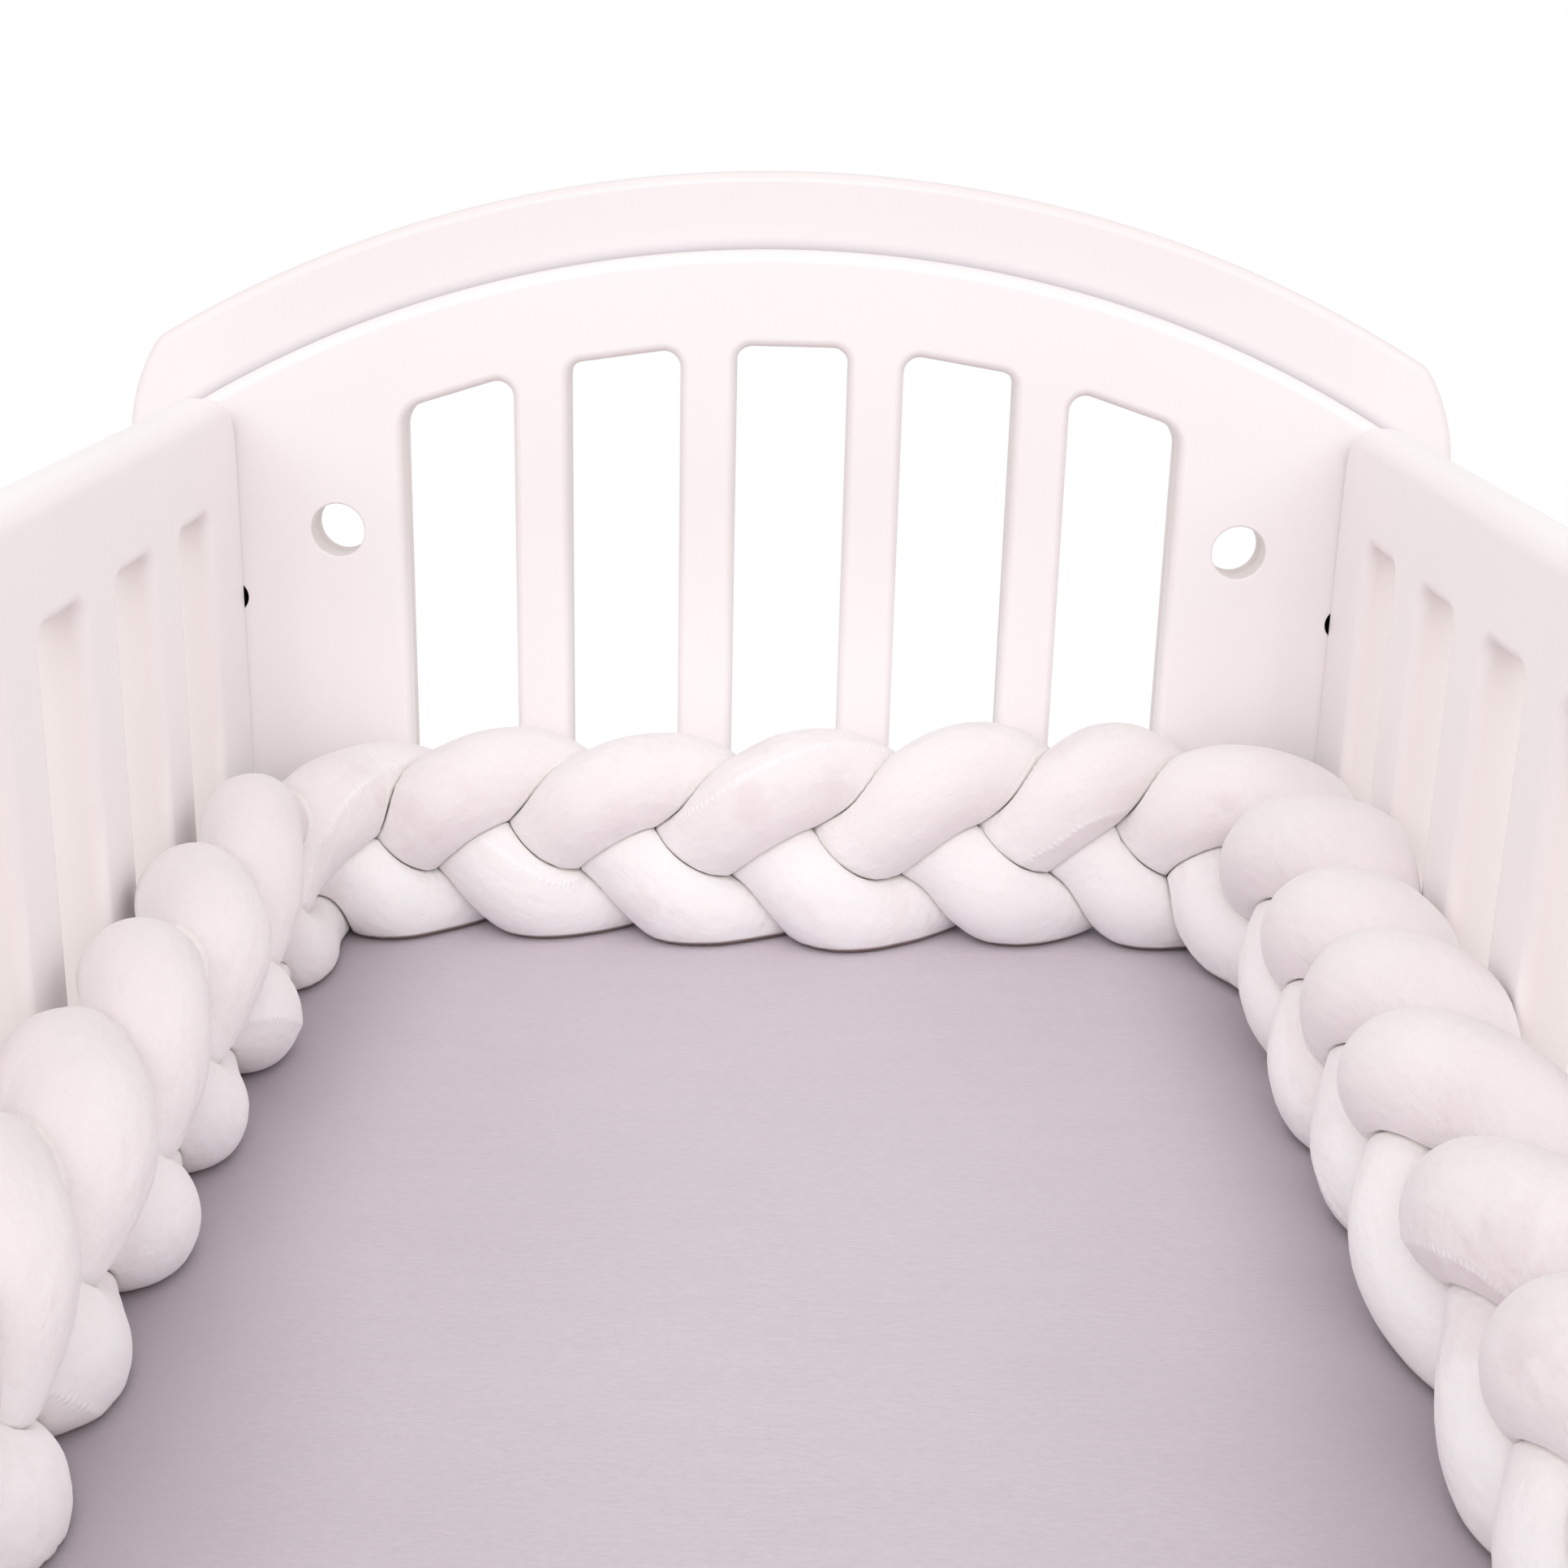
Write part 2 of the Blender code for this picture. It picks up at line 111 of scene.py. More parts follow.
class Value(Signal):
    """A number that may vary, used in Python expressions."""

    def maths(self, operation: str, *others: Any) -> "Value":
        """Return this number put through a Math node with the others after it."""
        return self.sheet.maths(operation, self, *others)

    def __add__(self, other: Any) -> "Value":
        """Return the sum."""
        return self.maths("ADD", other)

    __radd__ = __add__

    def __sub__(self, other: Any) -> "Value":
        """Return this less the other."""
        return self.maths("SUBTRACT", other)

    def __rsub__(self, other: Any) -> "Value":
        """Return the other less this."""
        return self.sheet.maths("SUBTRACT", other, self)

    def __mul__(self, other: Any) -> "Signal":
        """Return the product, which is an arrow if the other is one."""
        return other * self if isinstance(other, Arrow) else self.maths("MULTIPLY", other)

    __rmul__ = __mul__

    def __truediv__(self, other: Any) -> "Value":
        """Return this over the other."""
        return self.maths("DIVIDE", other)

    def __rtruediv__(self, other: Any) -> "Value":
        """Return the other over this."""
        return self.sheet.maths("DIVIDE", other, self)

    def __pow__(self, other: Any) -> "Value":
        """Return this to the power of the other."""
        return self.maths("POWER", other)

    def __neg__(self) -> "Value":
        """Return this with its sign changed."""
        return self.maths("MULTIPLY", -1.0)

    def __abs__(self) -> "Value":
        """Return this without its sign."""
        return self.maths("ABSOLUTE")

    def __lt__(self, other: Any) -> "Value":
        """Return 1 where this is less than the other, else 0."""
        return self.maths("LESS_THAN", other)

    def __gt__(self, other: Any) -> "Value":
        """Return 1 where this is more than the other, else 0."""
        return self.maths("GREATER_THAN", other)

    def least(self, other: Any) -> "Value":
        """Return the smaller of the two."""
        return self.maths("MINIMUM", other)

    def most(self, other: Any) -> "Value":
        """Return the larger of the two."""
        return self.maths("MAXIMUM", other)

    def clipped(self) -> "Value":
        """Return this kept between 0 and 1."""
        return self.most(0.0).least(1.0)

    def sine(self) -> "Value":
        """Return the sine."""
        return self.maths("SINE")

    def cosine(self) -> "Value":
        """Return the cosine."""
        return self.maths("COSINE")

    def bell(self, width: float) -> "Value":
        """Return a smooth hump that is 1 where this is 0 and falls off over the width."""
        scaled = self / width
        return self.sheet.maths("POWER", math.e, -(scaled * scaled))

    def step(self, low: float, high: float) -> "Value":
        """Return a smooth rise from 0 where this is low to 1 where it is high.

        Args:
            low: Where the rise starts.
            high: Where it ends.

        Returns:
            The rise.
        """
        node = self.sheet.node(
            "ShaderNodeMapRange",
            {"interpolation_type": "SMOOTHSTEP"},
            {"Value": self, "From Min": low, "From Max": high},
        )
        return self.sheet.read(node, "Result")


class Arrow(Signal):
    """A vector that may vary, used in Python expressions."""

    def vectors(self, operation: str, *others: Any) -> Signal:
        """Return this vector put through a Vector Math node with the others after it."""
        return self.sheet.vectors(operation, self, *others)

    def __add__(self, other: Any) -> "Arrow":
        """Return the sum."""
        return self.vectors("ADD", other)

    def __sub__(self, other: Any) -> "Arrow":
        """Return this less the other."""
        return self.vectors("SUBTRACT", other)

    def __mul__(self, other: Any) -> "Arrow":
        """Return this scaled by a number, or by another vector part by part.

        Args:
            other: The number or the vector.

        Returns:
            The scaled vector.
        """
        if isinstance(other, (Arrow, tuple)):
            return self.vectors("MULTIPLY", other)
        node = self.sheet.node("ShaderNodeVectorMath", {"operation": "SCALE"}, {0: self, "Scale": other})
        return self.sheet.read(node, "Vector")

    __rmul__ = __mul__

    def dot(self, other: Any) -> Value:
        """Return the dot product."""
        return self.vectors("DOT_PRODUCT", other)

    def cross(self, other: Any) -> "Arrow":
        """Return the cross product."""
        return self.vectors("CROSS_PRODUCT", other)

    def unit(self) -> "Arrow":
        """Return this with a length of 1."""
        return self.vectors("NORMALIZE")

    def length(self) -> Value:
        """Return the length."""
        return self.vectors("LENGTH")

    def parts(self) -> tuple[Value, Value, Value]:
        """Return X, Y and Z."""
        node = self.sheet.node("ShaderNodeSeparateXYZ", {}, {0: self})
        return tuple(self.sheet.read(node, axis) for axis in range(3))


class NodeSheet:
    """Adds nodes to one tree."""

    def __init__(self, tree: bpy.types.NodeTree) -> None:
        """Keep the tree."""
        self.tree = tree

    def node(
        self, kind: str, settings: Settings | None = None, inputs: Inputs | None = None
    ) -> bpy.types.Node:
        """Add a node, set its options first and then its sockets.

        Args:
            kind: The node's type.
            settings: Options by name.
            inputs: Values or signals by the socket's name or number.

        Returns:
            The node.
        """
        made = self.tree.nodes.new(kind)
        for name, value in (settings or {}).items():
            setattr(made, name, value)
        for key, value in (inputs or {}).items():
            self.feed(made.inputs[key], value)
        return made

    def feed(self, socket: bpy.types.NodeSocket, value: Any) -> None:
        """Link a signal to an input socket, or set the socket's own value.

        Args:
            socket: The input socket.
            value: A signal, or the number, vector or colour to set.
        """
        if isinstance(value, Signal):
            self.tree.links.new(value.socket, socket)
        elif socket.type == "RGBA":
            socket.default_value = (*value, 1.0)
        else:
            socket.default_value = value

    def read(self, node: bpy.types.Node, key: str | int = 0) -> Signal:
        """Return one of a node's outputs.

        Args:
            node: The node.
            key: The output's name or number.

        Returns:
            The output as a value or an arrow, or as a plain signal where it is neither.
        """
        socket = node.outputs[key]
        kinds = {"VALUE": Value, "INT": Value, "BOOLEAN": Value, "VECTOR": Arrow}
        return kinds.get(socket.type, Signal)(self, socket)

    def maths(self, operation: str, *terms: Any) -> Value:
        """Return the result of a Math node."""
        node = self.node("ShaderNodeMath", {"operation": operation}, dict(enumerate(terms)))
        return self.read(node)

    def vectors(self, operation: str, *terms: Any) -> Signal:
        """Return the result of a Vector Math node."""
        node = self.node("ShaderNodeVectorMath", {"operation": operation}, dict(enumerate(terms)))
        return self.read(node, "Value" if operation in ("DOT_PRODUCT", "LENGTH") else "Vector")

    def joined(self, x: Any, y: Any, z: Any) -> Arrow:
        """Return a vector of three numbers."""
        return self.read(self.node("ShaderNodeCombineXYZ", {}, {"X": x, "Y": y, "Z": z}))

    def noise(self, place: Arrow, scale: float, detail: float = 2.0, roughness: float = 0.5) -> Value:
        """Return smooth noise from 0 to 1.

        Args:
            place: Where the noise is read.
            scale: Cells per metre.
            detail: Octaves.
            roughness: Share of the finer octaves.

        Returns:
            The noise.
        """
        inputs = {"Vector": place, "Scale": scale, "Detail": detail, "Roughness": roughness}
        return self.read(self.node("ShaderNodeTexNoise", {}, inputs), 0)


class ShaderSheet(NodeSheet):
    """The nodes of one material, round a Principled shader."""

    def __init__(self, name: str) -> None:
        """Make the material.

        Args:
            name: Its name.
        """
        self.material = bpy.data.materials.new(name)
        self.material.use_nodes = True
        super().__init__(self.material.node_tree)
        self.tree.nodes.clear()
        self.shader = self.node("ShaderNodeBsdfPrincipled")
        output = self.node("ShaderNodeOutputMaterial")
        self.tree.links.new(self.shader.outputs["BSDF"], output.inputs["Surface"])

    def here(self) -> Arrow:
        """Return the place on the piece, in metres in the part's frame."""
        return self.read(self.node("ShaderNodeTexCoord"), "Object")

    def unwrapped(self) -> Arrow:
        """Return the place on the piece's own UV map."""
        return self.read(self.node("ShaderNodeUVMap", {"uv_map": "UVMap"}), 0)

    def stored(self, name: str) -> Value:
        """Return a number stored on the mesh."""
        node = self.node("ShaderNodeAttribute", {"attribute_name": name})
        return self.read(node, "Fac")

    def blend(self, share: Value, first: Any, second: Any) -> Signal:
        """Return the first colour at a share of 0 and the second at 1."""
        node = self.node("ShaderNodeMix", {"data_type": "RGBA"}, {0: share, 6: first, 7: second})
        return self.read(node, 2)

    def surface(self, **inputs: Any) -> bpy.types.Material:
        """Set the shader's sockets.

        Args:
            inputs: Values or signals by the socket's name, with underscores for spaces.

        Returns:
            The material.
        """
        for name, value in inputs.items():
            self.feed(self.shader.inputs[name.replace("_", " ")], value)
        return self.material

    def bumps(self, heights: Iterable[tuple[Value, float]]) -> Arrow:
        """Return the normal over several heights.

        Args:
            heights: Each height, from 0 to 1, with its depth in metres.

        Returns:
            The normal.
        """
        normal = None
        for height, depth in heights:
            inputs = {"Height": height, "Distance": depth, "Strength": 1.0}
            if normal is not None:
                inputs["Normal"] = normal
            normal = self.read(self.node("ShaderNodeBump", {}, inputs), "Normal")
        return normal


class GeometrySheet(NodeSheet):
    """A Geometry Nodes tree with named inputs."""

    def __init__(self, name: str) -> None:
        """Make the tree with a geometry input and output.

        Args:
            name: The tree's name.
        """
        super().__init__(bpy.data.node_groups.new(name, "GeometryNodeTree"))
        self.keys: dict[str, str] = {}
        for way in ("INPUT", "OUTPUT"):
            self.tree.interface.new_socket("Geometry", in_out=way, socket_type="NodeSocketGeometry")
        self.entry = self.tree.nodes.new("NodeGroupInput")
        self.exit = self.tree.nodes.new("NodeGroupOutput")

    def given(self, name: str, kind: str = "Float") -> Signal:
        """Add a named input to the tree and return it.

        Args:
            name: The input's name.
            kind: Float, Int, Vector or Material.

        Returns:
            The input.
        """
        socket = self.tree.interface.new_socket(name, in_out="INPUT", socket_type="NodeSocket" + kind)
        self.keys[name] = socket.identifier
        return self.read(self.entry, name)

    def base(self) -> Signal:
        """Return the geometry that the tree is given."""
        return self.read(self.entry, "Geometry")

    def shape(
        self, kind: str, settings: Settings | None = None, inputs: Inputs | None = None
    ) -> Signal:
        """Add a node and return its first output."""
        return self.read(self.node(kind, settings, inputs), 0)

    def field(self, kind: str, key: str | int = 0) -> Signal:
        """Return a field such as the position or the index."""
        return self.read(self.node(kind), key)

    def attribute(self, name: str, kind: str = "FLOAT") -> Signal:
        """Return a named attribute as a field."""
        return self.shape("GeometryNodeInputNamedAttribute", {"data_type": kind}, {"Name": name})

    def store(
        self, geometry: Signal, name: str, value: Any, kind: str = "FLOAT", domain: str = "POINT"
    ) -> Signal:
        """Return the geometry with a named attribute on it.

        Args:
            geometry: What the attribute goes on.
            name: The attribute's name.
            value: A signal or a number.
            kind: The attribute's data type.
            domain: POINT or CORNER.

        Returns:
            The geometry.
        """
        settings = {"data_type": kind, "domain": domain}
        inputs = {"Geometry": geometry, "Name": name, "Value": value}
        return self.shape("GeometryNodeStoreNamedAttribute", settings, inputs)

    def placed(self, geometry: Signal, position: Arrow) -> Signal:
        """Return the geometry with its points moved to a position."""
        return self.shape("GeometryNodeSetPosition", {}, {"Geometry": geometry, "Position": position})

    def shifted(self, geometry: Signal, offset: Arrow) -> Signal:
        """Return the geometry with its points moved by an offset."""
        return self.shape("GeometryNodeSetPosition", {}, {"Geometry": geometry, "Offset": offset})

    def facing(self, mesh: Signal, outward: Arrow) -> Signal:
        """Return the mesh with the faces turned over that look away from a direction."""
        wrong = self.field("GeometryNodeInputNormal").dot(outward) < 0.0
        return self.shape("GeometryNodeFlipFaces", {}, {"Mesh": mesh, "Selection": wrong})

    def smoothed(self, mesh: Signal, smooth: bool) -> Signal:
        """Return the mesh with smooth or flat faces."""
        return self.shape("GeometryNodeSetShadeSmooth", {}, {"Geometry": mesh, "Shade Smooth": smooth})

    def together(self, parts: Iterable[Signal]) -> Signal:
        """Return the parts as one geometry.

        Args:
            parts: The parts.

        Returns:
            The geometry.
        """
        node = self.node("GeometryNodeJoinGeometry")
        for part in parts:
            self.tree.links.new(part.socket, node.inputs[0])
        return self.read(node)

    def row_of_points(self, count: Any) -> Signal:
        """Return a curve of a number of points, to be bent into a profile."""
        line = self.shape("GeometryNodeCurvePrimitiveLine")
        return self.shape("GeometryNodeResampleCurve", {}, {"Curve": line, "Count": count})

    def close(self, mesh: Signal, material: Signal, weld: float = 1e-6) -> None:
        """Weld the mesh, give it its material and end the tree.

        Args:
            mesh: The tree's result.
            material: The material input.
            weld: Points closer than this are made one.
        """
        mesh = self.shape("GeometryNodeMergeByDistance", {}, {"Geometry": mesh, "Distance": weld})
        mesh = self.shape("GeometryNodeRealizeInstances", {}, {"Geometry": mesh})
        mesh = self.shape("GeometryNodeSetMaterial", {}, {"Geometry": mesh, "Material": material})
        self.tree.links.new(mesh.socket, self.exit.inputs["Geometry"])

    def make(
        self, name: str, base: bpy.types.Mesh, values: dict[str, Any], keep: Sequence[str]
    ) -> bpy.types.Object:
        """Run the tree on a mesh and return the plain mesh object that comes out.

        Args:
            name: The piece's name.
            base: What the tree is given.
            values: The tree's inputs by name.
            keep: Attributes that a material reads.

        Returns:
            The piece, at the origin, without modifiers.
        """
        piece = bpy.data.objects.new(name, base)
        bpy.context.scene.collection.objects.link(piece)
        modifier = piece.modifiers.new(self.tree.name, "NODES")
        modifier.node_group = self.tree
        for label, value in values.items():
            modifier[self.keys[label]] = value
        bpy.context.view_layer.update()
        graph = bpy.context.evaluated_depsgraph_get()
        mesh = bpy.data.meshes.new_from_object(
            piece.evaluated_get(graph), preserve_all_data_layers=True, depsgraph=graph
        )
        piece.modifiers.remove(modifier)
        piece.data = mesh
        mesh.name = name
        own = set(keep) | {"UVMap", "position", "sharp_face", "material_index"}
        labels = [a.name for a in mesh.attributes if not a.name.startswith(".")]
        for label in labels:
            if label not in own:
                mesh.attributes.remove(mesh.attributes[label])
        return piece


# Finishes


@dataclass(frozen=True)
class SatinPaint:
    """White satin paint, sprayed on smooth board.

    The bolt holes are dark: brown near the mouth for bare wood with painted shade, and near-black
    further in, a painted shadow.

    Attributes:
        name: The material's name.
        hole: A bolt hole's distance from the crib's middle, its height and its radius.
        hole_depths: Between these distances from the crib's middle the board is drilled.
        colour: The paint on the flat faces.
        thin_paint_and_edge_shade: The painted shade on rounded edges, and the paint where it is thinly
            laid.
        slot_wall_shade: Painted shade on the walls of the slots.
        speck: A small fleck under the paint.
        bare: Bare wood with painted shade on a bolt hole's wall near its mouth.
        hole_shadow: Painted shadow on the wall and the bottom further in.
        edge_shade_share: How much painted shade a rounded edge has, from 0 to 1.
        cloud_share: How much of that colour the thinly laid places have.
        specks_per_metre: How many places for a speck there are.
        speckless: The share of these places that have none.
        speck_size: Where a speck starts to fade and where it ends, in shares of their spacing.
        speck_share: How much of a speck shows.
        bare_depth: How far in the wall the bare wood colour gives way to the painted shadow.
        roughness: Roughness of the paint.
    """

    name: str
    hole: Triple
    hole_depths: Pair
    colour: Colour = (0.942, 0.888, 0.889)
    thin_paint_and_edge_shade: Colour = (0.915, 0.848, 0.844)
    slot_wall_shade: Colour = (0.84, 0.77, 0.755)
    speck: Colour = (0.42, 0.34, 0.33)
    bare: Colour = (0.30, 0.19, 0.14)
    hole_shadow: Colour = (0.012, 0.009, 0.008)
    edge_shade_share: float = 0.6
    cloud_share: float = 0.25
    specks_per_metre: float = 9.0
    speckless: float = 0.72
    speck_size: Pair = (0.006, 0.010)
    speck_share: float = 0.55
    bare_depth: float = 0.004
    roughness: float = 0.38

    def build(self) -> bpy.types.Material:
        """Mix the paint's thinly laid places and specks with painted shade on edges, slot walls and bolt
        holes.

        Returns:
            The material.
        """
        sheet = ShaderSheet(self.name)
        here = sheet.here()
        cloud = sheet.noise(here, scale=7.0, detail=3.0)
        peel = sheet.noise(here, scale=520.0, detail=2.0)
        drag = sheet.noise(here * (26.0, 26.0, 3.0), scale=6.0, detail=3.0)
        cells = sheet.node("ShaderNodeTexVoronoi", {}, {"Vector": here, "Scale": self.specks_per_metre})
        chance = sheet.node("ShaderNodeSeparateColor", {}, {0: sheet.read(cells, "Color")})
        chosen = sheet.read(chance, 0) > self.speckless
        spot = (1.0 - sheet.read(cells, "Distance").step(*self.speck_size)) * chosen
        # Rounded edges get painted shade; the cloudy places are thinly laid paint.
        patchy_and_edge_shade = sheet.stored("rounding") * self.edge_shade_share + cloud.step(0.35, 0.75) * self.cloud_share
        colour = sheet.blend(patchy_and_edge_shade, self.colour, self.thin_paint_and_edge_shade)
        # The slots' walls are darkened: painted shade.
        colour = sheet.blend(sheet.stored("cut"), colour, self.slot_wall_shade)
        colour = sheet.blend(spot * self.speck_share, self.toned(sheet, here, colour), self.speck)
        # Bolt holes: bare wood with painted shade at the mouth, a painted shadow further in.
        drilled = self.drilled(here)
        deep = (abs(here.parts()[1]) - self.hole_depths[0]) / self.bare_depth
        colour = sheet.blend(drilled, colour, sheet.blend(deep.clipped(), self.bare, self.hole_shadow))
        return sheet.surface(
            Base_Color=colour,
            Roughness=self.roughness + (cloud - 0.5) * 0.12 + (peel - 0.5) * 0.05 + drilled * 0.5,
            Normal=sheet.bumps([(drag, 0.00012), (peel, 0.00004)]),
            Specular_IOR_Level=0.45,
            Coat_Weight=(1.0 - drilled) * 0.12,
            Coat_Roughness=0.28,
        )

    def toned(self, sheet: ShaderSheet, here: Arrow, colour: Signal) -> Signal:
        """Return the colour as it is; the paint of one piece paints its light and shade onto it."""
        return colour

    def drilled(self, here: Arrow) -> Value:
        """Find the bolt holes.

        Args:
            here: The place on the piece.

        Returns:
            1 inside the holes and 0 elsewhere.
        """
        offset, height, radius = self.hole
        x, y, z = here.parts()
        aside, above = abs(x) - offset, z - height
        near = aside * aside + above * above < radius * radius
        return near * (abs(y) > self.hole_depths[0]) * (abs(y) < self.hole_depths[1])


@dataclass(frozen=True)
class ArchedPaint(SatinPaint):
    """Satin paint on an end, with painted light and shade that follow the arch of its inner panel.

    Attributes:
        arch: The height of the arch's middle, and its radius.
    """

    arch: Pair = (0.0, 1.0)

    def past_arch(self, sheet: ShaderSheet, here: Arrow) -> Value:
        """Return how far a point lies outside the panel's arch.

        Args:
            sheet: The material's nodes.
            here: The place on the piece.

        Returns:
            The distance in metres, which is negative under the arch.
        """
        x, _, z = here.parts()
        middle, radius = self.arch
        return sheet.joined(x, z - middle, 0.0).length() - radius


@dataclass(frozen=True)
class PanelPaint(ArchedPaint):
    """Paint of the inner panel: a painted highlight on the arch's rounded edge, and painted light low
    down.

    Attributes:
        painted_light: The lighter colour of the painted light and highlight.
        heights: Over the mattress, where the painted light low down ends.
        crown: Distances past the arch over which the painted highlight on the edge grows.
        crown_highlight_share: How much of the lighter colour the edge's highlight has.
    """

    # Darker than the sides' paint: painted shade on the ends, which get more light.
    colour: Colour = (0.862, 0.812, 0.813)
    thin_paint_and_edge_shade: Colour = (0.815, 0.750, 0.747)
    slot_wall_shade: Colour = (0.80, 0.735, 0.72)
    painted_light: Colour = (0.930, 0.876, 0.877)
    heights: Pair = (0.13, 0.25)
    crown: Pair = (-0.0085, -0.0030)
    crown_highlight_share: float = 0.25

    def toned(self, sheet: ShaderSheet, here: Arrow, colour: Signal) -> Signal:
        """Paint a highlight on the crown edge, and light low down.

        Args:
            sheet: The material's nodes.
            here: The place on the piece.
            colour: The paint so far.

        Returns:
            The toned colour.
        """
        height = here.parts()[2] - (self.hole[1] - EndWall.bolt_hole[1])
        # Painted light low down, and a painted highlight on the arch's edge.
        low = 1.0 - height.step(*self.heights)
        edge = self.past_arch(sheet, here).step(*self.crown)
        return sheet.blend(low.most(edge * self.crown_highlight_share), colour, self.painted_light)


@dataclass(frozen=True)
class BoardPaint(ArchedPaint):
    """Paint of the back board, darker as painted shade, with a painted shadow line along the inner
    panel's arch, on the side that the panel covers.

    Attributes:
        arch_shadow: The colour of the painted shadow.
        arch_shadow_width: How far it reaches above the arch.
        arch_shadow_falloff: The power by which it fades out.
        arch_shadow_share: How much of it shows at the arch.
        covered: How far it reaches under the panel.
        face_depth: The painted shadow ends this far past the drilled depth, just inside the covered
            face.
    """

    # Darker than the sides' paint: painted shade on the back board, which gets more light.
    colour: Colour = (0.812, 0.757, 0.766)
    thin_paint_and_edge_shade: Colour = (0.795, 0.715, 0.700)
    slot_wall_shade: Colour = (0.77, 0.69, 0.67)
    arch_shadow: Colour = (0.520, 0.490, 0.530)
    arch_shadow_width: float = 0.007
    arch_shadow_falloff: float = 1.6
    arch_shadow_share: float = 0.8
    covered: float = 0.002
    face_depth: float = 0.0005

    def toned(self, sheet: ShaderSheet, here: Arrow, colour: Signal) -> Signal:
        """Paint the shadow line along the arch.

        Args:
            sheet: The material's nodes.
            here: The place on the piece.
            colour: The paint so far.

        Returns:
            The toned colour.
        """
        # A painted shadow line just above the panel's arch.
        past = self.past_arch(sheet, here)
        share = (1.0 - (past / self.arch_shadow_width).clipped()) ** self.arch_shadow_falloff
        on_face = abs(here.parts()[1]) < self.hole_depths[1] + self.face_depth
        line = share * (past > -self.covered) * on_face
        return sheet.blend(line * self.arch_shadow_share, colour, self.arch_shadow)


@dataclass(frozen=True)
class SidePaint(SatinPaint):
    """Paint of the sides, with painted light on the slats low down behind the bumper.

    Attributes:
        painted_light: The lighter colour of the painted light.
        heights: Over the mattress, where the painted light ends.
        painted_light_share: How much of the lighter colour the slats have low down.
    """

    painted_light: Colour = (0.985, 0.945, 0.940)
    heights: Pair = (0.095, 0.140)
    painted_light_share: float = 0.85

    def toned(self, sheet: ShaderSheet, here: Arrow, colour: Signal) -> Signal:
        """Paint light on the slats' faces low down.

        Args:
            sheet: The material's nodes.
            here: The place on the piece.
            colour: The paint so far.

        Returns:
            The toned colour.
        """
        height = here.parts()[2] - (self.hole[1] - EndWall.bolt_hole[1])
        # Painted light on the slats' faces near the bumper, where its shade falls.
        low = 1.0 - height.step(*self.heights)
        return sheet.blend(low * (1.0 - sheet.stored("cut")) * self.painted_light_share, colour, self.painted_light)


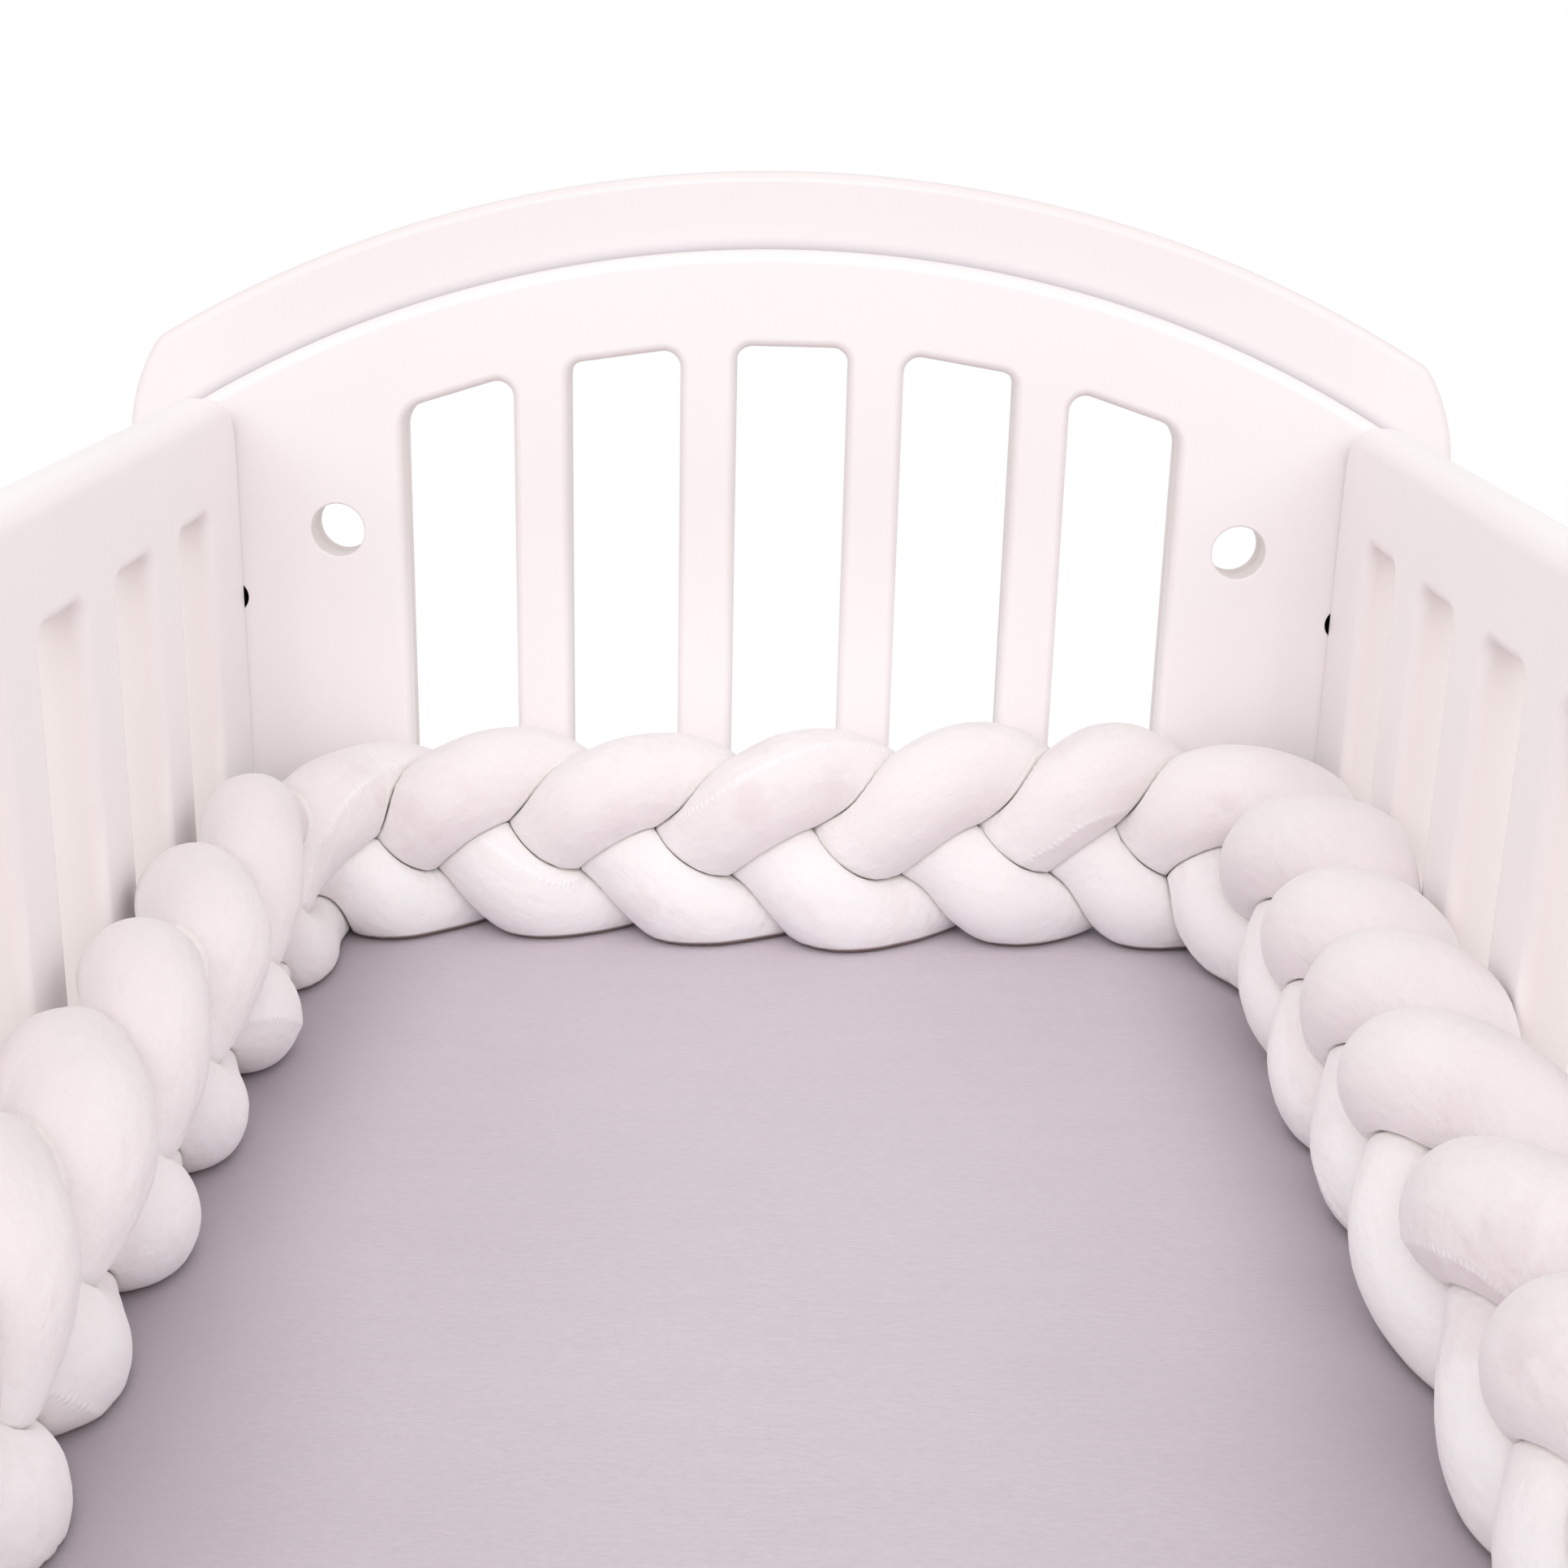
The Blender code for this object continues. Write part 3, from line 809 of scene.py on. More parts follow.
@dataclass(frozen=True)
class BraidVelvet:
    """Short white velvet on a stuffed tube, with a sewn seam along UV V 0.

    The nap is lighter low down on the inside, with painted shade on top and against the sides.
    The creases have painted light, and a painted shadow runs where a tube stands on the mattress.

    Attributes:
        mattress_top: Height of the mattress.
        half_width: Half the distance between the sides.
        colour: The nap where it stands.
        flat_nap_and_shade: The nap where it is flat, and the painted shade on top and against the sides.
        painted_light: The nap where two tubes meet.
        contact_shadow: Painted shadow along the line where a tube stands on the mattress.
        top_heights: Over the mattress, where the painted shade on top grows.
        wall_distances: From the wall inwards, as negative numbers, where the painted shade against the
            wall grows.
        wall_shift: How far the wall distances are moved to the right.
        contact_shadow_heights: Over the mattress, where the painted contact shadow ends.
        crease_room: The room, as the tube's tree stores it, over which a crease ends.
        girth: Distance round a tube.
        stitch: Length of a stitch.
        seam_width: Width of the seam's pucker.

    Each share is how much of its tone shows.
    """

    mattress_top: float
    half_width: float
    colour: Colour = (0.955, 0.915, 0.918)
    flat_nap_and_shade: Colour = (0.825, 0.755, 0.762)
    painted_light: Colour = (0.985, 0.940, 0.915)
    contact_shadow: Colour = (0.12, 0.06, 0.05)
    top_heights: Pair = (0.030, 0.095)
    top_shade_share: float = 0.68
    wall_distances: Pair = (-0.080, -0.010)
    wall_shift: float = 0.012
    wall_shade_share: float = 0.70
    contact_shadow_heights: Pair = (0.0028, 0.0052)
    contact_shadow_share: float = 0.95
    crease_room: Pair = (1.0, 1.10)
    crease_light_share: float = 0.85
    girth: float = 0.195
    stitch: float = 0.0027
    seam_width: float = 0.0019

    def build(self) -> bpy.types.Material:
        """Mix the nap's tones with painted light and shade, and raise its clumps, folds and stitches.

        Returns:
            The material.
        """
        sheet = ShaderSheet("white_velvet")
        here = sheet.here()
        run, around, _ = sheet.unwrapped().parts()
        smudge = sheet.noise(here, scale=21.0, detail=3.0, roughness=0.62)
        patch = sheet.noise(here, scale=8.0, detail=1.0)
        pile = sheet.noise(here, scale=1700.0, detail=2.0)
        clump = sheet.noise(here, scale=420.0, detail=3.0, roughness=0.6)
        strokes = sheet.joined(run * 30.0, around * self.girth * 210.0, 0.0)
        nap = sheet.noise(strokes, scale=1.0, detail=3.0)
        ruffle = smudge.step(0.50, 0.66) * patch.step(0.42, 0.62)
        from_seam = around.least(1.0 - around) * self.girth
        pucker = (run * (TURN / self.stitch) + nap * 1.6).cosine()
        sewn = from_seam.bell(self.seam_width)
        folded = sheet.joined(run * 9.0, around * self.girth * 9.0, 3.0)
        folds = sheet.noise(folded, scale=14.0, detail=2.0)
        x, _, z = here.parts()
        # Painted shade on top and against the walls.
        top_shade = (z - self.mattress_top).step(*self.top_heights)
        wall_shade = (abs(x - self.wall_shift) - self.half_width).step(*self.wall_distances)
        # A painted contact shadow along the tube's foot.
        foot = 1.0 - (z - self.mattress_top).step(*self.contact_shadow_heights)
        # The seam's line is lighter: a painted highlight.
        shade = ruffle * 0.45 + (clump - 0.5) * 0.30 + (nap - 0.5) * 0.16 - sewn * 0.3
        shade = shade + top_shade * self.top_shade_share + wall_shade * self.wall_shade_share
        colour = sheet.blend(shade.clipped(), self.colour, self.flat_nap_and_shade)
        # Painted light in the creases, where tubes meet.
        tucked = 1.0 - sheet.stored("room").step(*self.crease_room)
        colour = sheet.blend(tucked * (1.0 - foot) * self.crease_light_share, colour, self.painted_light)
        return sheet.surface(
            Base_Color=sheet.blend(foot * self.contact_shadow_share, colour, self.contact_shadow),
            Roughness=0.88 - ruffle * 0.06 + (clump - 0.5) * 0.08,
            Normal=sheet.bumps(
                [(folds, 0.0012), (sewn * pucker, 0.00022), (clump, 0.00022), (pile, 0.00010)]
            ),
            Subsurface_Weight=0.50,
            Subsurface_Scale=0.008,
            Subsurface_Radius=(1.0, 0.90, 0.86),
            Specular_IOR_Level=0.22,
            Sheen_Weight=0.22,
            Sheen_Roughness=0.45,
            Sheen_Tint=(1.0, 0.97, 0.97),
        )


@dataclass(frozen=True)
class CoverVelvet:
    """Lilac-grey short velvet, stretched over the mattress.

    It has painted shade in a band along the bumper, and painted shade towards the foot end.

    Attributes:
        half_width: Half the distance between the sides.
        colour: The nap where it stands.
        flat_nap_and_foot_shade: The nap where it lies flat, and the painted shade towards the foot end.
        braid_shade: Painted shade along the bumper.
        braid_shade_width: Width of the painted shade band at the head end.
        braid_shade_spread: How much wider the band is at the foot end.
        braid_shade_waver: How far the band's edge wanders.
        braid_shade_waver: How far the band's edge wanders.
        band_shift: How far the pair of bands is moved to the right.
        foot_reach: From the crib's middle to where the painted shade towards the foot end stops.
    """

    half_width: float
    colour: Colour = (0.660, 0.592, 0.645)
    flat_nap_and_foot_shade: Colour = (0.580, 0.514, 0.566)
    braid_shade: Colour = (0.40, 0.345, 0.385)
    braid_depth: float = 0.083
    braid_shade_width: float = 0.060
    braid_shade_spread: float = 0.045
    braid_shade_waver: float = 0.03
    band_shift: float = 0.006
    foot_reach: float = 0.25

    def build(self) -> bpy.types.Material:
        """Mix the nap's tones with painted shade, and raise its rows.

        Returns:
            The material.
        """
        sheet = ShaderSheet("lilac_velvet")
        here = sheet.here()
        broad = sheet.noise(here, scale=4.0, detail=2.0)
        rows = sheet.noise(here * (0.35, 1.0, 1.0), scale=480.0, detail=2.0, roughness=0.6)
        grain = sheet.noise(here, scale=1500.0, detail=2.0)
        strokes = sheet.noise(here * (0.25, 1.0, 1.0), scale=60.0, detail=3.0)
        x, y, _ = here.parts()
        # Painted shade towards the foot end.
        near = 1.0 - y.step(0.0, self.foot_reach)
        shade = broad.step(0.30, 0.75) * 0.35 + (rows - 0.5) * 0.90 + (strokes - 0.5) * 0.35 + 0.20
        colour = sheet.blend((shade + near * 0.22).clipped(), self.colour, self.flat_nap_and_foot_shade)
        # Painted shade in a band along the bumper.
        inside = self.half_width - self.braid_depth - abs(x - self.band_shift)
        width = near * self.braid_shade_spread + self.braid_shade_width
        braid_shade = 1.0 - ((inside + (broad - 0.5) * self.braid_shade_waver) / width).step(-0.5, 1.0)
        return sheet.surface(
            Base_Color=sheet.blend(braid_shade * (near * 0.2 + 0.8), colour, self.braid_shade),
            Roughness=0.84 + (rows - 0.5) * 0.12,
            Normal=sheet.bumps([(strokes, 0.0005), (rows, 0.00035), (grain, 0.00012)]),
            Specular_IOR_Level=0.20,
            Sheen_Weight=0.30,
            Sheen_Roughness=0.40,
            Sheen_Tint=(1.0, 0.93, 0.98),
        )


@dataclass(frozen=True)
class BareWood:
    """Unpainted pine, with its grain along Y or X.

    Attributes:
        name: The material's name.
        along_x: Whether the grain runs along X.
        early: The light wood of a ring.
        late: The dark wood of a ring.
        stretched: How fast the pattern changes along the grain, against 1 across it.
        rings: How tightly the rings lie.
    """

    name: str
    along_x: bool
    early: Colour = (0.76, 0.60, 0.40)
    late: Colour = (0.55, 0.37, 0.20)
    stretched: float = 0.05
    rings: float = 46.0

    def build(self) -> bpy.types.Material:
        """Mix the rings and the fibres.

        Returns:
            The material.
        """
        sheet = ShaderSheet(self.name)
        stretch = (self.stretched, 1.0, 1.0) if self.along_x else (1.0, self.stretched, 1.0)
        here = sheet.here() * stretch
        wander = sheet.noise(here, scale=9.0, detail=3.0)
        rings = ((wander * self.rings).sine() * 0.5 + 0.5) ** 2.0
        fibre = sheet.noise(here, scale=900.0, detail=3.0)
        colour = sheet.blend(rings * 0.55 + (fibre - 0.5) * 0.3, self.early, self.late)
        return sheet.surface(
            Base_Color=colour,
            Roughness=0.55 + fibre * 0.2,
            Normal=sheet.bumps([(rings, 0.0001), (fibre, 0.0002)]),
            Specular_IOR_Level=0.35,
        )


# Boards with rounded edges


@dataclass
class Loop:
    """A closed outline on a board, with the material on its left.

    Attributes:
        rows: For each point its two coordinates and the direction away from the board's material.
        front: Rounding of the edge on the side that faces the bed, for all points or each.
        back: Rounding of the edge on the other side.
    """

    rows: np.ndarray
    front: float | np.ndarray
    back: float | np.ndarray


def arc(middle: Point, radius: float, start: float, end: float, step: float = 7.5) -> np.ndarray:
    """Points on an arc, and the direction to the right of the way that it is followed.

    Args:
        middle: The arc's centre.
        radius: Its radius.
        start: The angle where it starts, in degrees.
        end: The angle where it ends.
        step: Degrees from point to point.

    Returns:
        Rows of two coordinates and two parts of the direction.
    """
    count = max(2, int(math.ceil(abs(end - start) / step)) + 1)
    angles = np.radians(np.linspace(start, end, count))
    sign = 1.0 if end > start else -1.0
    rays = np.stack([np.cos(angles), np.sin(angles)], axis=1)
    return np.hstack([np.array(middle) + rays * radius, rays * sign])


def rounded(corners: Sequence[Point], radii: Sequence[float]) -> np.ndarray:
    """An outline of straight lines with rounded corners.

    Args:
        corners: The corners, with the material on the left.
        radii: The radius of each.

    Returns:
        Rows of two coordinates and two parts of the direction away from the material.
    """
    rows = []
    for index, radius in enumerate(radii):
        corner = np.array(corners[index])
        before = np.array(corners[index - 1]) - corner
        after = np.array(corners[(index + 1) % len(corners)]) - corner
        before = before / np.linalg.norm(before)
        after = after / np.linalg.norm(after)
        half = math.acos(float(np.clip(before @ after, -1.0, 1.0))) / 2
        middle = corner + (before + after) / np.linalg.norm(before + after) * radius / math.sin(half)
        first = corner + before * radius / math.tan(half) - middle
        last = corner + after * radius / math.tan(half) - middle
        turn = math.degrees(math.atan2(first[0] * last[1] - first[1] * last[0], float(first @ last)))
        start = math.degrees(math.atan2(first[1], first[0]))
        rows.append(arc(tuple(middle), radius, start, start + turn))
    return np.vstack(rows)


def backwards(rows: np.ndarray) -> np.ndarray:
    """An outline followed the other way, as for an opening."""
    return rows[::-1] * np.array([1.0, 1.0, -1.0, -1.0])


def slot_edges(count: int, pitch: float, width: float) -> list[Pair]:
    """The left and right edges of a row of slots, centred on 0.

    Args:
        count: How many slots.
        pitch: Distance from slot to slot.
        width: Width of a slot.

    Returns:
        For each slot where it begins and ends.
    """
    middles = [(index - (count - 1) / 2) * pitch for index in range(count)]
    return [(middle - width / 2, middle + width / 2) for middle in middles]


class BoardTree(GeometrySheet):
    """Geometry Nodes that make a flat board of its outlines, with rounded edges."""

    EDGE_STEPS = 9              # points over each rounding
    WELD = 1e-5

    def __init__(self) -> None:
        """Build the tree."""
        super().__init__("rounded_board")
        thickness = self.given("Thickness")
        steps = self.given("Edge Steps", "Int")
        place = self.given("Place", "Vector")
        across = self.given("Across", "Vector")
        material = self.given("Material", "Material")
        loops = self.shape("GeometryNodeMeshToCurve", {}, {"Mesh": self.base()})
        outward = self.attribute("outward", "FLOAT_VECTOR")
        radii = {1.0: self.attribute("front"), -1.0: self.attribute("back")}
        parts = [
            self.flat_face(loops, outward, radius, thickness, side)
            for side, radius in radii.items()
        ]
        parts.append(self.rim(loops, outward, radii, thickness, steps))
        x, y, z = self.field("GeometryNodeInputPosition").parts()
        stood = place + across * x + self.joined(0.0, 0.0, y) + across.cross(UP) * z
        self.close(self.placed(self.together(parts), stood), material, self.WELD)

    def flat_face(
        self, loops: Signal, outward: Arrow, radius: Value, thickness: Value, side: float
    ) -> Signal:
        """Return the flat part of one face, inside the rounding.

        Args:
            loops: The outlines as curves.
            outward: Direction away from the material.
            radius: Rounding of that side's edges.
            thickness: The board's thickness.
            side: 1 for the front and -1 for the back.

        Returns:
            The face.
        """
        inset = self.shifted(loops, outward * -radius)
        filled = self.shape("GeometryNodeFillCurve", {}, {"Curve": inset})
        lifted = self.shifted(filled, self.joined(0.0, 0.0, thickness * (side / 2)))
        flat = self.store(self.store(lifted, "rounding", 0.0), "cut", 0.0)
        return self.smoothed(self.facing(flat, self.joined(0.0, 0.0, side)), False)

    def rim(
        self,
        loops: Signal,
        outward: Arrow,
        radii: dict[float, Value],
        thickness: Value,
        steps: Value,
    ) -> Signal:
        """Return the edge of the board, rounded over on both sides.

        Args:
            loops: The outlines as curves.
            outward: Direction away from the material.
            radii: Rounding by side.
            thickness: The board's thickness.
            steps: Points over each rounding.

        Returns:
            The edge of the outline and of every opening.
        """
        profile = self.row_of_points(steps * 2.0)
        index = self.field("GeometryNodeSplineParameter", "Index")
        share = index.least(steps * 2.0 - 1.0 - index) / (steps - 1.0)
        turned = share * share * (3.0 - 2.0 * share) * (math.pi / 2)
        side = (index < steps - 0.5) * 2.0 - 1.0
        for name, value in (("sine", turned.sine()), ("cosine", turned.cosine()), ("side", side)):
            profile = self.store(profile, name, value)
        rails = self.store(loops, "rail", self.field("GeometryNodeInputPosition"), "FLOAT_VECTOR")
        swept = self.shape("GeometryNodeCurveToMesh", {}, {"Curve": rails, "Profile Curve": profile})
        sine, cosine, side = (self.attribute(name) for name in ("sine", "cosine", "side"))
        radius = radii[1.0] * (side * 0.5 + 0.5) + radii[-1.0] * (0.5 - side * 0.5)
        depth = side * (thickness * 0.5 - radius + radius * cosine)
        rail = self.attribute("rail", "FLOAT_VECTOR")
        drawn_in = outward * (radius * (sine - 1.0))
        swept = self.placed(swept, rail + drawn_in + self.joined(0.0, 0.0, depth))
        swept = self.store(swept, "rounding", (sine * cosine * 2.0).least(1.0))
        # The share of a slot's wall, which the paint darkens as painted shade.
        swept = self.store(swept, "cut", self.attribute("opening") * sine ** 3.0)
        out = outward * sine + self.joined(0.0, 0.0, side * cosine)
        return self.smoothed(self.facing(swept, out), True)

    def board(
        self,
        name: str,
        loops: Sequence[Loop],
        thickness: float,
        place: Vector,
        across: Sequence[float],
        paint: bpy.types.Material,
    ) -> bpy.types.Object:
        """Make one board.

        Args:
            name: The piece's name.
            loops: Its outline and openings.
            thickness: Its thickness.
            place: Where its outlines' origin lies, in the middle of the thickness.
            across: The direction of the outlines' first coordinate.
            paint: Its material.

        Returns:
            The piece.
        """
        points, edges = [], []
        columns: dict[str, list] = {"outward": [], "front": [], "back": [], "opening": []}
        for loop in loops:
            start, count = len(points), len(loop.rows)
            points += [(x, y, 0.0) for x, y in loop.rows[:, :2]]
            edges += [(start + i, start + (i + 1) % count) for i in range(count)]
            columns["outward"] += [(x, y, 0.0) for x, y in loop.rows[:, 2:]]
            columns["front"] += list(np.broadcast_to(loop.front, count))
            columns["back"] += list(np.broadcast_to(loop.back, count))
            columns["opening"] += [float(start > 0)] * count
        base = line_mesh(name + "_lines", points, edges, columns)
        values = {
            "Thickness": thickness,
            "Edge Steps": self.EDGE_STEPS,
            "Place": tuple(place),
            "Across": tuple(across),
            "Material": paint,
        }
        return self.make(name, base, values, ["rounding", "cut"])


def line_mesh(
    name: str, points: Sequence, edges: Sequence, columns: dict[str, Sequence]
) -> bpy.types.Mesh:
    """A mesh of edges with named numbers or vectors on its points.

    Args:
        name: The mesh's name.
        points: Its points.
        edges: Its edges.
        columns: For each attribute one number or vector per point.

    Returns:
        The mesh.
    """
    mesh = bpy.data.meshes.new(name)
    mesh.from_pydata([tuple(p) for p in points], [tuple(e) for e in edges], [])
    for label, values in columns.items():
        table = np.array(values, dtype=np.float32)
        vector = table.ndim == 2
        attribute = mesh.attributes.new(label, "FLOAT_VECTOR" if vector else "FLOAT", "POINT")
        attribute.data.foreach_set("vector" if vector else "value", table.ravel())
    return mesh


# The crib


@dataclass
class Piecework:
    """What each sub-assembly shares: it hands its pieces to the frame."""

    def hand_over(self, piece: bpy.types.Object, nodes: Sequence[str], slot: Slot) -> bpy.types.Object:
        """Let a piece ride on the part and stand for its CAD nodes.

        Args:
            piece: The finished piece.
            nodes: The CAD nodes that it replaces.
            slot: The record's slot; not used.

        Returns:
            The piece.
        """
        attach(piece, BODY)
        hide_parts(*nodes)
        faces = len(piece.data.polygons)
        LOG.info("%s: %d faces, stands for %s", piece.name, faces, ", ".join(nodes))
        return piece


@dataclass
class EndWall(Piecework):
    """One end of the crib: an arched inner panel on a wider back board.

    Heights are measured from the mattress top. A hole is its distance from the middle, its height
    and its radius. The edges of a board, its slots and its holes are rounded by one radius on the
    side that faces the bed and another on the far side.
    """

    end: End
    tree: BoardTree
    panel_paint: bpy.types.Material
    board_paint: bpy.types.Material
    mattress_top: float
    half_length: float
    panel_thickness: float = 0.015
    panel_half: float = 0.338
    panel_arch_top: float = 0.380
    panel_arch_radius: float = 0.655
    panel_corner: float = 0.012
    panel_edge: Pair = (0.0065, 0.0020)
    panel_slot_edge: Pair = (0.0048, 0.0015)
    panel_hole_edge: Pair = (0.0012, 0.0008)
    bolt_hole_edge: Pair = (0.0006, 0.0004)
    board_gap: float = 0.0003
    board_thickness: float = 0.0125
    board_half: float = 0.375
    board_arch_top: float = 0.421
    board_arch_radius: float = 0.6975
    board_corner: float = 0.020
    board_edge: Pair = (0.0058, 0.0058)
    board_slot_edge: Pair = (0.0015, 0.0036)
    board_hole_edge: Pair = (0.0008, 0.0012)
    shoulder_radius: float = 0.110
    shoulder_angle: float = 32.0
    shoulder_step: float = 2.5
    slot_count: int = 5
    slot_width: float = 0.062
    slot_pitch: float = 0.0928
    slot_arch_top: float = 0.329
    slot_arch_radius: float = 0.605
    slot_bottom: float = -0.060
    slot_corner: float = 0.009
    outer_corner: float = 0.016
    hand_hole: Triple = (0.255, 0.220, 0.015)
    bolt_hole: Triple = (0.3168, 0.180, 0.009)
    foot_inner: float = 0.268
    foot_corner: float = 0.009
    leg_arch_top: float = 0.230
    leg_arch_corner: float = 0.070
    crown_step: float = 0.6

    def legs(self, half: float) -> np.ndarray:
        """The feet and the cut between them, from the left edge to the right one.

        Args:
            half: Half the board's width.

        Returns:
            Rows of an outline.
        """
        ground = -self.mattress_top
        top = self.leg_arch_top - self.mattress_top
        inner, foot, cut = self.foot_inner, self.foot_corner, self.leg_arch_corner
        left_x, right_x = -half + foot, half - foot
        low = ground + foot
        return np.vstack([
            arc((left_x, low), foot, 180, 270),
            arc((-inner - foot, low), foot, 270, 360),
            arc((-inner + cut, top - cut), cut, 180, 90),
            arc((inner - cut, top - cut), cut, 90, 0),
            arc((inner + foot, low), foot, 180, 270),
            arc((right_x, low), foot, 270, 360),
        ])

    def panel_outline(self) -> np.ndarray:
        """The inner panel: an arch over upright edges.

        Returns:
            Rows of its outline.
        """
        corner_x = self.panel_half - self.panel_corner
        inner_radius = self.panel_arch_radius - self.panel_corner
        reach = math.degrees(math.asin(corner_x / inner_radius))
        arch_z = self.panel_arch_top - self.panel_arch_radius
        corner_z = arch_z + inner_radius * math.cos(math.radians(reach))
        return np.vstack([
            arc((corner_x, corner_z), self.panel_corner, 0, 90 - reach),
            arc((0.0, arch_z), self.panel_arch_radius, 90 - reach, 90 + reach, self.crown_step),
            arc((-corner_x, corner_z), self.panel_corner, 90 + reach, 180),
            self.legs(self.panel_half),
        ])

    def board_outline(self) -> np.ndarray:
        """The back board: a wider arch, a tight corner and a shoulder on each side.

        Returns:
            Rows of its outline.
        """
        lean = math.radians(self.shoulder_angle)
        shoulder_x = self.board_half - self.shoulder_radius
        apart = self.shoulder_radius - self.board_corner
        corner_x = shoulder_x + apart * math.cos(lean)
        inner_radius = self.board_arch_radius - self.board_corner
        reach = math.degrees(math.asin(corner_x / inner_radius))
        arch_z = self.board_arch_top - self.board_arch_radius
        corner_z = arch_z + inner_radius * math.cos(math.radians(reach))
        shoulder_z = corner_z - apart * math.sin(lean)
        turn = self.shoulder_angle
        return np.vstack([
            arc((shoulder_x, shoulder_z), self.shoulder_radius, 0, turn, self.shoulder_step),
            arc((corner_x, corner_z), self.board_corner, turn, 90 - reach),
            arc((0.0, arch_z), self.board_arch_radius, 90 - reach, 90 + reach, self.crown_step),
            arc((-corner_x, corner_z), self.board_corner, 90 + reach, 180 - turn),
            arc((-shoulder_x, shoulder_z), self.shoulder_radius, 180 - turn, 180, self.shoulder_step),
            self.legs(self.board_half),
        ])

    def slot_top(self, across: float) -> float:
        """Height of the arch that the slots' tops follow."""
        radius = self.slot_arch_radius
        return self.slot_arch_top - radius + math.sqrt(radius * radius - across * across)

    def slots(self, edge: Pair) -> list[Loop]:
        """The upright slots. The outer upper corners of the outermost two are rounder.

        Args:
            edge: Rounding of their edges at the front and the back.

        Returns:
            Their outlines.
        """
        loops = []
        rows = slot_edges(self.slot_count, self.slot_pitch, self.slot_width)
        for index, (left, right) in enumerate(rows):
            corners = [
                (left, self.slot_bottom),
                (right, self.slot_bottom),
                (right, self.slot_top(right)),
                (left, self.slot_top(left)),
            ]
            radii = [self.slot_corner] * 4
            if index == 0:
                radii[3] = self.outer_corner
            if index == self.slot_count - 1:
                radii[2] = self.outer_corner
            loops.append(Loop(backwards(rounded(corners, radii)), *edge))
        return loops

    def holes(self, hole: Triple, edge: Pair) -> list[Loop]:
        """A pair of round holes, one on each side.

        Args:
            hole: Distance from the middle, height and radius.
            edge: Rounding of their edges at the front and the back.

        Returns:
            Their outlines.
        """
        offset, height, radius = hole
        loops = []
        for side in (-1, 1):
            ring = arc((side * offset, height), radius, 0, 360)[:-1]
            loops.append(Loop(backwards(ring), *edge))
        return loops

    def build(self) -> None:
        """Make the inner panel and the back board."""
        side = self.end.value
        name = self.end.name.lower()
        board_start = self.half_length + self.panel_thickness + self.board_gap
        panel_y = side * (self.half_length + self.panel_thickness / 2)
        board_y = side * (board_start + self.board_thickness / 2)
        across = (float(side), 0.0, 0.0)
        panel = [Loop(self.panel_outline(), *self.panel_edge)]
        panel += self.slots(self.panel_slot_edge)
        panel += self.holes(self.hand_hole, self.panel_hole_edge)
        panel += self.holes(self.bolt_hole, self.bolt_hole_edge)
        board = [Loop(self.board_outline(), *self.board_edge)]
        board += self.slots(self.board_slot_edge)
        board += self.holes(self.hand_hole, self.board_hole_edge)
        for kind, loops, thickness, y, paint in (
            ("panel", panel, self.panel_thickness, panel_y, self.panel_paint),
            ("board", board, self.board_thickness, board_y, self.board_paint),
        ):
            place = Vector((0.0, y, self.mattress_top))
            piece = self.tree.board(f"painted_{name}_{kind}", loops, thickness, place, across, paint)
            self.hand_over(piece, [f"{name}_{kind}"], Slot.PAINT)


@dataclass
class SideWall(Piecework):
    """One long slotted side of the crib.

    Heights are measured from the mattress top. Long edges and slots are rounded by one radius on
    the side that faces the bed and another on the far side.
    """

    flank: Flank
    tree: BoardTree
    paint: bpy.types.Material
    mattress_top: float
    half_width: float
    half_length: float
    end_gap: float = 0.0003
    thickness: float = 0.025
    top: float = 0.296
    bottom: float = -0.180
    top_corner: float = 0.030
    bottom_corner: float = 0.012
    slot_count: int = 11
    slot_width: float = 0.054
    slot_pitch: float = 0.104
    slot_top: float = 0.238
    slot_bottom: float = -0.120
    slot_corner: float = 0.008
    rail_edge: Pair = (0.0105, 0.0095)
    end_edge: float = 0.0015
    slot_edge: Pair = (0.0075, 0.0025)

    def outline(self) -> np.ndarray:
        """The long board, with its corners rounder at the top.

        Returns:
            Rows of its outline.
        """
        length = self.half_length - self.end_gap
        low = [(-length, self.bottom), (length, self.bottom)]
        corners = low + [(length, self.top), (-length, self.top)]
        return rounded(corners, [self.bottom_corner] * 2 + [self.top_corner] * 2)

    def slots(self) -> list[Loop]:
        """The row of slots.

        Returns:
            Their outlines.
        """
        loops = []
        for left, right in slot_edges(self.slot_count, self.slot_pitch, self.slot_width):
            low = [(left, self.slot_bottom), (right, self.slot_bottom)]
            corners = low + [(right, self.slot_top), (left, self.slot_top)]
            rows = rounded(corners, [self.slot_corner] * 4)
            loops.append(Loop(backwards(rows), *self.slot_edge))
        return loops

    def build(self) -> None:
        """Make the side."""
        side = self.flank.value
        name = self.flank.name.lower()
        rows = self.outline()
        upright = np.abs(rows[:, 2])
        edges = [edge * (1 - upright) + self.end_edge * upright for edge in self.rail_edge]
        loops = [Loop(rows, *edges)] + self.slots()
        place = Vector((side * (self.half_width + self.thickness / 2), 0.0, self.mattress_top))
        across = (0.0, float(-side), 0.0)
        piece = self.tree.board(f"painted_{name}_side", loops, self.thickness, place, across, self.paint)
        self.hand_over(piece, [f"{name}_side"], Slot.PAINT)


